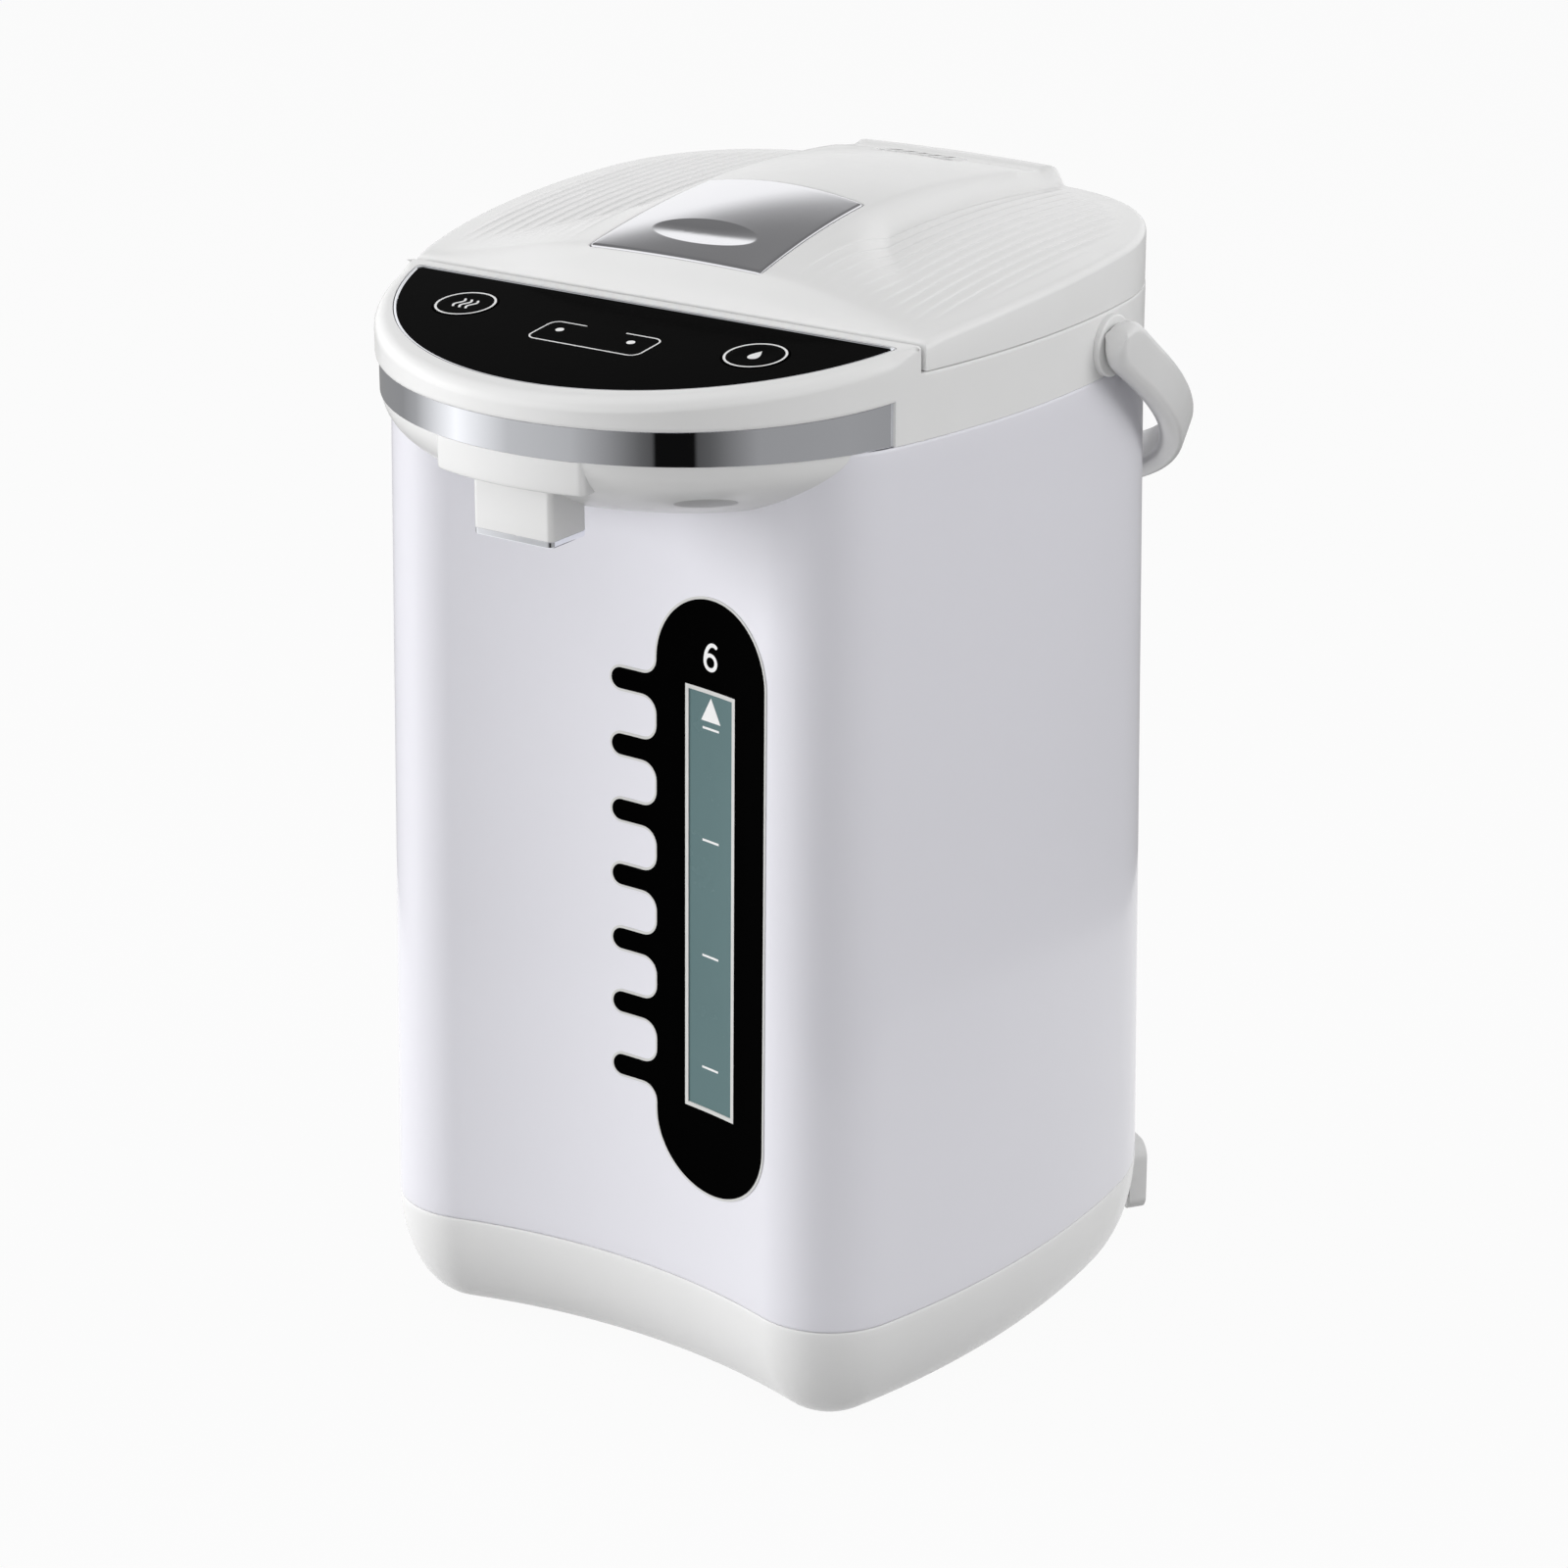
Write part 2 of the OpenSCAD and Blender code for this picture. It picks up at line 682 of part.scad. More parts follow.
film_x = [gauge_x - window_w / 2 - 12.5, gauge_x + window_w / 2 + 14];
film_z = [window_z - 29.6, window_z + window_h + 30.2];
finger_n = 7;
finger_step = 22.85;
finger_z0 = window_z + 6.6;

module film_shape() {
    r = (film_x[1] - film_x[0]) / 2;
    translate([(film_x[0] + film_x[1]) / 2, film_z[1] - r]) circle(r = r);
    translate([(film_x[0] + film_x[1]) / 2, film_z[0] + r]) circle(r = r);
    translate([film_x[0], film_z[0] + r]) square([2 * r, film_z[1] - film_z[0] - 2 * r]);
    for (i = [0:finger_n - 1]) {
        translate([film_x[0] - 15, finger_z0 + i * finger_step]) circle(r = 3.6, $fn = 24);
        translate([film_x[0] - 15, finger_z0 + i * finger_step - 3.6]) square([16, 7.2]);
    }
}

module from_front() {
    translate([0, -60, 0]) rotate([90, 0, 0]) linear_extrude(height = 80) children();
}

module gauge_film() {
    color(black)
    intersection() {
        difference() {
            body_solid(-film_t);
            translate([0, 0, base_seam_z - 1]) linear_extrude(height = 1) polygon(both(body_half(-9)));
            translate([0, 0, base_seam_z - 0.005]) linear_extrude(height = shell_h + 0.01, scale = top_k)
                polygon(both(body_half(0)));
        }
        difference() {
            from_front() film_shape();
            from_front() translate([gauge_x - window_w / 2, window_z]) square([window_w, window_h]);
        }
    }
}

module gauge_window() {
    color([0.4, 0.5, 0.5])
    union() {
        intersection() {
            difference() {
                body_solid(0);
                translate([0, 0, base_seam_z - 0.01]) linear_extrude(height = shell_h + 0.02, scale = top_k)
                    polygon(both(body_half(shell_t + 0.6)));
            }
            from_front() translate([gauge_x - window_w / 2 + 0.1, window_z + 0.1])
                square([window_w - 0.2, window_h - 0.2]);
        }
        intersection() {
            difference() {
                translate([0, 0, base_seam_z]) linear_extrude(height = shell_h, scale = top_k)
                    polygon(both(body_half(shell_t + 0.05)));
                translate([0, 0, base_seam_z - 0.01]) linear_extrude(height = shell_h + 0.02, scale = top_k)
                    polygon(both(body_half(shell_t + window_back)));
            }
            from_front() translate([gauge_x - window_w / 2 - 3, window_z - 3])
                square([window_w + 6, window_h + 6]);
        }
    }
}

tube_bottom = base_seam_z + 27;
tube_top = collar_seam_z - 14.5;

module sight_tube() {
    color([0.8, 0.85, 0.85])
    translate([gauge_x, hose_y, tube_bottom]) tube(tube_r, tube_r - tube_t, tube_top - tube_bottom);
}

/* Water pot and heater */

pot_out = pot_r + pot_t;
flange_r = pot_out + 1.7;
drain_r = 6;

module inner_pot() {
    color(steel)
    translate([0, pot_cy, 0]) rotate_extrude($fn = 128) polygon([[pot_r, pot_floor_z], [pot_out, pot_floor_z],
        [pot_out, pot_top_z - 1], [flange_r, pot_top_z - 1], [flange_r, pot_top_z], [pot_r, pot_top_z]]);
}

module pot_floor() {
    color(steel)
    difference() {
        union() {
            translate([0, pot_cy, pot_floor_z - 1]) cylinder(r = pot_out, h = 1, $fn = 128);
            translate([gauge_x, -pump_front, pot_floor_z - 3.6]) cylinder(r = drain_r, h = 3);
        }
        translate([gauge_x, -pump_front, pot_floor_z - 10]) cylinder(r = drain_r - 1.2, h = 20);
    }
}

module pot_support() {
    color(rubber)
    difference() {
        translate([0, pot_cy, chassis_z]) tube(pot_out - 5, pot_out - 13, pot_floor_z - 1 - chassis_z);
        translate([gauge_x, hose_y, chassis_z - 1]) cylinder(r = tube_r + 3, h = 20);
    }
}

module pot_seal() {
    color(silicone)
    translate([0, pot_cy, pot_top_z]) tube(flange_r - 0.3, pot_r + 0.2, 2);
}

ring_z = pot_top_z + 2;
seat_r = mouth_r - 5;
seat_z = collar_seam_z + 6;

module mouth_ring() {
    color(white)
    translate([0, pot_cy, 0]) rotate_extrude($fn = 128) polygon([[seat_r, ring_z], [seat_r, seat_z],
        [mouth_r, seat_z],
        [mouth_r, collar_top_z - 3.2], [mouth_r + 3, collar_top_z - 3.2], [mouth_r + 3, ring_z + 8],
        [flange_r - 4, ring_z + 3], [flange_r, ring_z + 3], [flange_r, ring_z]]);
}

heater_r = 46;
heater_t = 2.2;
heater_rib = 6;

module heater_plate() {
    color(steel)
    translate([0, pot_cy, 0])
    difference() {
        union() {
            translate([0, 0, pot_floor_z - 1 - heater_t]) cylinder(r = heater_r, h = heater_t);
            translate([0, 0, pot_floor_z - 2.2 - heater_t])
                tube(heater_r - 2, heater_r - 2 - heater_rib, 2);
        }
        translate([0, 0, pot_floor_z - 8]) cylinder(r = 6, h = 10);
    }
}

heater_z = pot_floor_z - 1 - heater_t;
module thermostat() {
    color(rubber)
    union() {
        translate([18, pot_cy, heater_z - 11]) cylinder(r = 9, h = 11);
        translate([6, pot_cy - 5, heater_z - 1]) cube([24, 10, 1]);
    }
}

module thermal_fuse() {
    color(steel)
    union() {
        translate([-18, pot_cy - 14, heater_z - 2.4]) rotate([-90, 0, 0]) cylinder(r = 2.2, h = 28);
        translate([-22, pot_cy - 4, heater_z - 5]) cube([8, 8, 5]);
    }
}

/* Pump and water path */

pump_xy = [gauge_x, -pump_front];
motor_z = cover_z + cover_t + 2;
motor_h = 19;
volute_z = motor_z + motor_h;
volute_h = 14;
spigot_z = volute_z + 7;
spigot_r = tube_r;
hose_r = tube_r + 1.5;
bend_r = 12;

module at_pump(z) {
    translate([pump_xy[0], pump_xy[1], z]) children();
}

module pump_bracket() {
    color(white)
    difference() {
        union() {
            at_pump(cover_z + cover_t) cylinder(r = motor_r + 7, h = 2);
            at_pump(cover_z + cover_t) cylinder(r = motor_r + 2.4, h = 10);
        }
        at_pump(motor_z) cylinder(r = motor_r + seat, h = 20);
    }
}

module pump_motor() {
    color(steel)
    difference() {
        at_pump(motor_z) cylinder(r = motor_r, h = motor_h);
        at_pump(motor_z + 3) cylinder(r = 13.5, h = motor_h - 4.5);
        at_pump(motor_z + 1) cylinder(r = 1.5 + pin_fit, h = 4);
    }
}

module motor_rotor() {
    color(rubber)
    union() {
        at_pump(motor_z + 1.3) cylinder(r = 1.5, h = 10);
        at_pump(motor_z + 5) cylinder(r = 8, h = 8);
        at_pump(motor_z + 12) cylinder(r = 12.6, h = 5);
    }
}

module pump_housing() {
    color(white)
    difference() {
        union() {
            at_pump(volute_z) cylinder(r = pump_r, h = volute_h);
            at_pump(volute_z + volute_h - 1) cylinder(r = drain_r,
                h = pot_floor_z - 3.8 - volute_z - volute_h + 1);
            at_pump(spigot_z) rotate([90, 0, 0]) cylinder(r = spigot_r, h = 32);
        }
        at_pump(volute_z + 2) cylinder(r = 17.5, h = volute_h - 4);
        at_pump(volute_z + 5) cylinder(r = drain_r - 1.2, h = 40);
        at_pump(spigot_z) rotate([90, 0, 0]) cylinder(r = spigot_r - 1.4, h = 40);
        at_pump(volute_z + 0.9) cylinder(r = 1.5 + pin_fit, h = 4);
    }
}

module impeller() {
    color(steel)
    union() {
        at_pump(volute_z + 1.2) cylinder(r = 1.5, h = 3);
        at_pump(volute_z + 3) cylinder(r = impeller_r, h = 1.6);
        at_pump(volute_z + 3) cylinder(r = 3.4, h = 5);
        at_pump(volute_z + 4)
        for (i = [0:5]) {
            rotate([0, 0, i * 60]) translate([2.8, -0.7, 0]) cube([impeller_r - 3.6, 1.4, 4.6]);
        }
    }
}

module suction_hose() {
    color(silicone)
    at_pump(volute_z + volute_h + 0.2) tube(drain_r + 1.6, drain_r + pin_fit,
        pot_floor_z - 1.3 - volute_z - volute_h);
}

hose_end = pump_xy[1] - pump_r - 1;
module delivery_hose() {
    color(silicone)
    translate([gauge_x, 0, 0])
    difference() {
        union() {
            translate([0, hose_end, spigot_z]) rotate([90, 0, 0]) cylinder(r = hose_r,
                h = hose_end - hose_y - bend_r);
            translate([0, hose_y + bend_r, spigot_z + bend_r]) rotate([0, -90, 0]) rotate([0, 0, 180])
                rotate_extrude(angle = 90) translate([bend_r, 0]) circle(r = hose_r);
            translate([0, hose_y, spigot_z + bend_r]) cylinder(r = hose_r,
                h = tube_bottom + 9 - spigot_z - bend_r);
        }
        translate([0, hose_end + 1, spigot_z]) rotate([90, 0, 0]) cylinder(r = spigot_r + pin_fit,
            h = hose_end + 1 - hose_y - bend_r);
        translate([0, hose_y + bend_r, spigot_z + bend_r]) rotate([0, -90, 0]) rotate([0, 0, 180])
            rotate_extrude(angle = 90) translate([bend_r, 0]) circle(r = spigot_r - 1);
        translate([0, hose_y, spigot_z + bend_r]) cylinder(r = spigot_r - 1, h = 60);
        translate([0, hose_y, tube_bottom - 0.2]) cylinder(r = tube_r + pin_fit, h = 60);
    }
}

pipe_z = collar_seam_z - 6.5;
pipe_dx = [-gauge_x, nozzle_y - hose_y];
pipe_len = norm(pipe_dx);
pipe_a = atan2(pipe_dx[1], pipe_dx[0]);
socket_r = tube_r + 1.3;

// The outlet path: up from the sight tube, across under the hood, and down into the spout
module pipe_run(r, cross_r, up, down) {
    translate([gauge_x, hose_y, tube_top - up]) cylinder(r = r, h = pipe_z - tube_top + up + r);
    translate([gauge_x, hose_y, pipe_z]) rotate([0, 0, pipe_a]) rotate([0, 90, 0])
        cylinder(r = cross_r, h = pipe_len);
    translate([0, nozzle_y, pipe_z - down]) cylinder(r = r, h = down + r);
}

module outlet_pipe() {
    color(silicone)
    difference() {
        union() {
            pipe_run(pipe_r, pipe_r - 0.4, 0, pipe_z - spout_z - trim_h - 0.3);
            translate([gauge_x, hose_y, tube_top - 12]) cylinder(r = socket_r, h = 13);
        }
        pipe_run(pipe_r - 1.6, pipe_r - 2, 20, pipe_z - spout_z + 5);
        translate([gauge_x, hose_y, tube_top - 20]) cylinder(r = tube_r + pin_fit, h = 20.2);
    }
}

/* Electrics in the base */

pcb_lift = 11;
pcb_z = cover_z + pcb_lift;
pcb_w = 84;
pcb_d = 64;
relay_size = [19, 15, 15];
coil_size = [34, 22, 16];
core_size = [26, 30, 5];

module power_board() {
    color(board_green)
    difference() {
        translate([board_c[0] - pcb_w / 2, board_c[1] - pcb_d / 2, pcb_z]) cube([pcb_w, pcb_d, board_t]);
        for (h = board_holes) {
            translate([board_c[0] + h[0], board_c[1] + h[1], pcb_z - 1]) cylinder(r = 1.3 + pin_fit, h = 4);
        }
    }
}

module transformer() {
    color(rubber)
    union() {
        translate([board_c[0] - 17 - core_size[0] / 2, board_c[1] + 1 - core_size[1] / 2, pcb_z + board_t])
            cube(core_size);
        translate([board_c[0] - 17 - coil_size[0] / 2, board_c[1] + 1 - coil_size[1] / 2,
            pcb_z + board_t + core_size[2] - 0.6]) cube(coil_size);
    }
}

module relay() {
    color(black)
    translate([board_c[0] + 10, board_c[1] - 10, pcb_z + board_t]) cube(relay_size);
}

module power_board_screws() {
    color(steel)
    for (h = board_holes) {
        translate([board_c[0] + h[0], board_c[1] + h[1], pcb_z + board_t]) cylinder(r = 2.4, h = 1.6);
        translate([board_c[0] + h[0], board_c[1] + h[1], pcb_z - 6]) cylinder(r = 1.3, h = 8);
    }
}

pin_gap = 7;
contact_r = 2.4;

module inlet_block(w, h, x0, x1, r) {
    translate([x0, 0, 0]) rotate([90, 0, 90]) linear_extrude(height = x1 - x0) round_rect(w, h, r);
}

module inlet_housing() {
    color(white)
    at_inlet()
    difference() {
        union() {
            inlet_block(inlet_w, inlet_h, -1.5, inlet_out, 6);
            inlet_block(inlet_w - 7, inlet_h - 7, -14, 1, 4);
        }
        rotate([0, 0, -inlet_turn]) translate([-inlet_c[0], -inlet_c[1], -inlet_z]) difference() {
            translate([0, 0, base_seam_z - 41]) linear_extrude(height = 90) polygon(both(body_half(-0.15)));
            translate([0, 0, base_seam_z - 42]) linear_extrude(height = 92)
                polygon(both(body_half(base_t + 4)));
            at_inlet() inlet_block(inlet_w - 7, inlet_h - 7, -14, 1, 4);
        }
        inlet_block(inlet_w - 12, inlet_h - 13, -9, 30, 3);
        for (y = [-pin_gap, pin_gap]) {
            translate([-12, y, 0]) rotate([0, 90, 0]) cylinder(r = contact_r + pin_fit, h = 20);
        }
    }
}

module inlet_pins() {
    color(chrome)
    at_inlet()
    for (y = [-pin_gap, pin_gap]) {
        translate([-11, y, 0]) rotate([0, 90, 0]) cylinder(r = contact_r, h = 12);
    }
}

/* Lid */

function smooth(t) = let (u = min(1, max(0, t))) u * u * (3 - 2 * u);
function lid_span(y) = (y + lid_front) / (collar_rear + lid_front);
function front_flare(y) = 1 - smooth((y + lid_front) / 75);
function rear_flare(y) = pow(min(1, max(0, (y - 20) / 85)), 2);
function ridge_edge(y) = 34 + 5 * rear_flare(y);
function ridge_slope(y) = 9 + 55 * front_flare(y) - 3 * rear_flare(y);
function lid_lift(y) = sin(90 * min(1, max(0, (y + lid_front) / 8)));
function lid_top(x, y) = collar_top_z + lid_edge_h + lid_edge_rise * (1 - pow(1 - lid_span(y), 3))
    + lid_lift(y) * (lid_dome_h * (1 - pow(x / 112, 2)) * max(0, 1 - pow(y / 112, 2))
    + lid_ridge_h * (1 - smooth((abs(x) - ridge_edge(y)) / ridge_slope(y)))
    + lid_crown_h * max(0, 1 - pow(x / 40, 2)) * max(0, 1 - pow((y - 13) / 80, 2)));

function lid_edge(w) = let (a0 = asin((w - lid_front) / (cs_r - w))) concat(
    arc([cs_x, 0], cs_r - w, a0, rear_turn, 8),
    tail(grown(arc(rc, rc_pr - w / top_k, rear_turn, rear_a, 7), top_k)),
    tail(grown(arc([0, rear_cy], rear_pr - w / top_k, rear_a, 86, 2), top_k)));
lid_cols = [-1, -0.85, -0.7, -0.55, -0.42, -0.3, -0.15, 0, 0.15, 0.3, 0.42, 0.55, 0.7, 0.85, 1];
function lid_rows(w) = let (e = lid_edge(w), x0 = e[0][0], y0 = e[0][1])
    concat([for (d = [0, 1.5, 4, 8]) [x0 + d * (e[1][0] - x0) / (e[1][1] - y0), y0 + d]],
    [for (i = [1:len(e) - 1]) if (e[i][1] > y0 + 10) e[i]]);
function lid_grid(w, drop) = [for (p = lid_rows(w)) [for (u = lid_cols) [u * p[0], p[1],
    lid_top(u * p[0], p[1]) - drop]]];
function flat_grid(w, z) = [for (p = lid_rows(w)) [for (u = lid_cols) [u * p[0], p[1], z]]];

latch_front_y = -lid_front + 7.5;
latch_rear_y = latch_front_y + latch_len;
ear_x = 20;
bracket_x = 38.5;
latch_pivot = [latch_rear_y - 4, lid_top(bracket_x, latch_rear_y) - 5];
lid_screw_ring = mouth_r - 17;
lid_screw_xy = [for (a = [45, 135, 225, 315]) [lid_screw_ring * cos(a), pot_cy + lid_screw_ring * sin(a)]];
vent_y = 82;
vent_w = 32;
vent_d = 13;
vent_slots = 5;
vent_pitch = 5.4;
vent_tilt = atan((lid_top(0, vent_y - vent_d / 2) - lid_top(0, vent_y + vent_d / 2)) / vent_d);
dish_r = mouth_r - 7;
dish_z = collar_seam_z + 8.5;
lid_plate_t = 2;

module at_vent() {
    translate([0, vent_y, lid_top(0, vent_y)]) rotate([-vent_tilt, 0, 0]) children();
}

module latch_outline(g) {
    polygon([[-latch_half_front - g, latch_front_y - g], [latch_half_front + g, latch_front_y - g],
        [latch_half_rear + g, latch_rear_y + g], [-latch_half_rear - g, latch_rear_y + g]]);
}

module lid_cover() {
    color(white)
    difference() {
        union() {
            difference() {
                slab(lid_grid(0.2, 0), flat_grid(0.2, lid_z));
                slab(lid_grid(lid_t + 0.4, lid_t), flat_grid(lid_t + 0.4, lid_z - 1));
            }
            for (p = lid_screw_xy) {
                translate([p[0], p[1], lid_z + lid_plate_t + 0.1]) cylinder(r = 4,
                    h = lid_top(p[0], p[1]) - 1.5 - lid_z - lid_plate_t);
            }
            for (s = [-1, 1]) {
                translate([s * 36 - 2.5, latch_pivot[0] - 4, latch_pivot[1] - 4])
                    cube([5, 8, lid_top(bracket_x, latch_pivot[0] + 4) - latch_pivot[1] + 2.9]);
            }
            along_x(-lug_x[0] + free_gap, lug_x[0] - free_gap, hinge_y, lid_z, hinge_knuckle_r);
            translate([-lug_x[0] + free_gap, collar_rear - 2.5, lid_z]) cube([2 * lug_x[0] - 2 * free_gap,
                hinge_y - collar_rear + 2.5, hinge_knuckle_r]);
        }
        translate([0, 0, lid_z + 8]) linear_extrude(height = 60) latch_outline(free_gap);
        translate([-bolt_half_w - free_gap, -lid_front - 2, lid_z + 1.9])
            cube([2 * bolt_half_w + 2 * free_gap, 6, 5.4]);
        at_vent() translate([0, 0, -9]) linear_extrude(height = 20)
            round_rect(vent_w + 0.2, vent_d + 0.2, 3);
        along_x(-60, 60, hinge_y, lid_z, hinge_pin_r + pin_fit);
        along_x(-60, 60, latch_pivot[0], latch_pivot[1], latch_pin_r + pin_fit);
        for (p = lid_screw_xy) {
            translate([p[0], p[1], lid_z]) cylinder(r = 1.5 + pin_fit, h = 13);
        }
    }
}

module lid_inner_plate() {
    color(steel)
    difference() {
        union() {
            translate([0, 0, lid_z]) linear_extrude(height = lid_plate_t) polygon(both(
                concat([[0, -lid_front + lid_t + 0.8]], lid_edge(lid_t + 0.8), [[0,
                    collar_rear - lid_t - 1.4]])));
            translate([0, pot_cy, dish_z]) cylinder(r = dish_r, h = lid_z - dish_z + 0.5);
        }
        difference() {
            translate([0, pot_cy, dish_z + 1.6]) cylinder(r = dish_r - 1.6, h = 30);
            translate([0, pot_cy, lid_z]) tube(200, dish_r - 4, 40);
            for (p = lid_screw_xy) {
                translate([p[0], p[1], dish_z]) cylinder(r = 3.6, h = lid_z - dish_z + lid_plate_t);
            }
        }
        for (p = lid_screw_xy) {
            translate([p[0], p[1], dish_z - 1]) cylinder(r = 1.5 + pin_fit, h = 40);
        }
        translate([0, -30, dish_z - 1]) cylinder(r = 3, h = 10);
    }
}

module lid_gasket() {
    color(silicone)
    translate([0, pot_cy, 0]) rotate_extrude($fn = 128) polygon([[dish_r + 0.05, seat_z + 1],
        [dish_r + 3.6, seat_z + 0.25],
        [dish_r + 5, seat_z + 0.25], [dish_r + 5, seat_z + 1.6], [dish_r + 1.4, seat_z + 6],
            [dish_r + 0.05, seat_z + 6]]);
}

module lid_screws() {
    color(steel)
    for (p = lid_screw_xy) {
        translate([p[0], p[1], dish_z - 1.5]) cylinder(r = 3, h = 1.5);
        translate([p[0], p[1], dish_z - 0.1]) cylinder(r = 1.5, h = 25);
    }
}

module steam_vent() {
    color(white)
    at_vent()
    difference() {
        union() {
            translate([0, 0, -5]) linear_extrude(height = 5) round_rect(vent_w, vent_d, 3);
            translate([0, 0, -5.4]) linear_extrude(height = 1) round_rect(vent_w + 4, vent_d + 4, 3);
        }
        for (i = [0:vent_slots - 1]) {
            translate([(i - (vent_slots - 1) / 2) * vent_pitch, 0, -10]) linear_extrude(height = 20)
                round_rect(3.4, 7.5, 1.2);
        }
    }
}

module hinge_pin() {
    color(steel) along_x(-lug_x[1] - 0.5, lug_x[1] + 0.5, hinge_y, lid_z, hinge_pin_r);
}

lever_rows = [0, 0.04, 0.1, 0.16, 0.22, 0.28, 0.34, 0.4, 0.5, 0.62, 0.75, 0.88, 1];
lever_cols = [-1, -0.8, -0.62, -0.5, -0.38, -0.26, -0.13, 0, 0.13, 0.26, 0.38, 0.5, 0.62, 0.8, 1];
function dimple(x, y) = 3.4 * pow(max(0, 1 - pow(x / 20, 2) - pow((y - latch_front_y - 17) / 8, 2)), 0.8);
function lever_grid(drop) = [for (r = lever_rows) [for (u = lever_cols)
    let (h = latch_half_front + (latch_half_rear - latch_half_front) * r, y = latch_front_y + latch_len * r)
    [u * h, y, lid_top(u * h, y) + 0.2 - dimple(u * h, y) - drop]]];

module latch_lever() {
    color(chrome)
    difference() {
        union() {
            slab(lever_grid(0), lever_grid(2));
            for (s = [-1, 1]) {
                translate([s * ear_x - 2, latch_pivot[0] - 3, latch_pivot[1] - 3])
                    cube([4, 6, lid_top(ear_x, latch_pivot[0]) - latch_pivot[1] + 2]);
            }
            translate([-4.5, latch_front_y + 7, lid_z + 9])
                cube([9, 3, lid_top(0, latch_front_y + 7) - lid_z - 10]);
        }
        along_x(-60, 60, latch_pivot[0], latch_pivot[1], latch_pin_r + pin_fit);
    }
}

module latch_pin() {
    color(steel) along_x(-38.6, 38.6, latch_pivot[0], latch_pivot[1], latch_pin_r);
}

bolt_z = lid_z + lid_plate_t + 0.3;
tab_y = latch_front_y + 10;
module latch_bolt() {
    color(white)
    translate([-bolt_half_w, 0, 0]) rotate([90, 0, 90]) linear_extrude(height = 2 * bolt_half_w) polygon([
        [-hood_rear - 3.2, bolt_z], [-hood_rear - 3.2, bolt_z + 2.4], [-hood_rear - 1.6, bolt_z + 4.2],
        [-lid_front + 6, bolt_z + 4.2], [-lid_front + 6, bolt_z + 1], [tab_y - 2.2, bolt_z + 1],
        [tab_y + 0.7, bolt_z + 8], [tab_y + 5, bolt_z + 8], [tab_y + 5, bolt_z]]);
}

/* Handle */

module strap_section() {
    round_rect(strap_t, strap_b, strap_round);
}

module handle() {
    color(white)
    translate([0, pivot_y, pivot_z]) rotate([-handle_drop, 0, 0])
    difference() {
        union() {
            translate([0, arm_len, 0]) rotate_extrude(angle = 180) translate([arm_x, 0]) strap_section();
            for (s = [-1, 1]) {
                translate([s * arm_x, arm_len + 0.5, 0]) rotate([90, 0, 0])
                    linear_extrude(height = arm_len)
                        round_rect(strap_t - 0.2, strap_b - 0.2, strap_round - 0.1);
                along_x(s * arm_x - strap_t / 2, s * arm_x + strap_t / 2, 0, 0, strap_b / 2 + 1);
            }
        }
        along_x(-arm_x - strap_t / 2 + 1.5, arm_x + strap_t / 2 - 1.5, 0, 0, pivot_r + pin_fit);
    }
}

module handle_pins() {
    color(steel)
    for (s = [-1, 1]) {
        along_x(s > 0 ? collar_side_x - 6 : -arm_x - strap_t / 2 + 2,
            s > 0 ? arm_x + strap_t / 2 - 2 : 6 - collar_side_x,
            pivot_y, pivot_z, pivot_r);
    }
}

placed() outer_shell();
placed() base_housing();
placed() chassis_plate();
placed() bottom_cover();
placed() bottom_screws();
placed() rubber_feet();
placed() collar();
placed() beak_underside();
placed() chrome_band();
placed() nozzle();
placed() nozzle_trim();
placed() control_panel();
placed() panel_bezel();
placed() reboil_button();
placed() dispense_button();
placed() indicator_lenses();
placed() control_board();
placed() control_board_screws();
placed() tact_switches();
placed() gauge_film();
placed() gauge_window();
placed() sight_tube();
placed() inner_pot();
placed() pot_floor();
placed() pot_support();
placed() pot_seal();
placed() mouth_ring();
placed() heater_plate();
placed() thermostat();
placed() thermal_fuse();
placed() pump_housing();
placed() pump_motor();
placed() pump_bracket();
placed() impeller();
placed() motor_rotor();
placed() suction_hose();
placed() delivery_hose();
placed() outlet_pipe();
placed() power_board();
placed() transformer();
placed() relay();
placed() power_board_screws();
placed() inlet_housing();
placed() inlet_pins();
placed() lid_cover();
placed() lid_inner_plate();
placed() lid_gasket();
placed() lid_screws();
placed() steam_vent();
placed() hinge_pin();
placed() latch_lever();
placed() latch_pin();
placed() latch_bolt();
placed() handle();
placed() handle_pins();
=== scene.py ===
import math

import bmesh
import bpy
import numpy as np
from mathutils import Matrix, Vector
from mathutils.geometry import delaunay_2d_cdt


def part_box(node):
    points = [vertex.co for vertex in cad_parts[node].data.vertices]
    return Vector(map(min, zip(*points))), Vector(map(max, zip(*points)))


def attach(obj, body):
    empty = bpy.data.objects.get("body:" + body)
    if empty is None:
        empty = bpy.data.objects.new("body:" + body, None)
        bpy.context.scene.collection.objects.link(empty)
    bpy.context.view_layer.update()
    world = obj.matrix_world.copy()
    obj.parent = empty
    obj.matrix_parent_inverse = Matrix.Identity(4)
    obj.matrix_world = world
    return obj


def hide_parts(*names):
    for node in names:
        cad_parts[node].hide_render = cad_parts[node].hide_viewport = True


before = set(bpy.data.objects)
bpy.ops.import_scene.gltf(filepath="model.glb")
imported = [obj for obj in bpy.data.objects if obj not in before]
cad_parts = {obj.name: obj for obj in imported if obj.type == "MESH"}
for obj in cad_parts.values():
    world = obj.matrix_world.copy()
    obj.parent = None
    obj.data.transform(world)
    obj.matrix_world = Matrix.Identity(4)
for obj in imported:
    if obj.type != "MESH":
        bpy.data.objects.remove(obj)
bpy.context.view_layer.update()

MM = 0.001
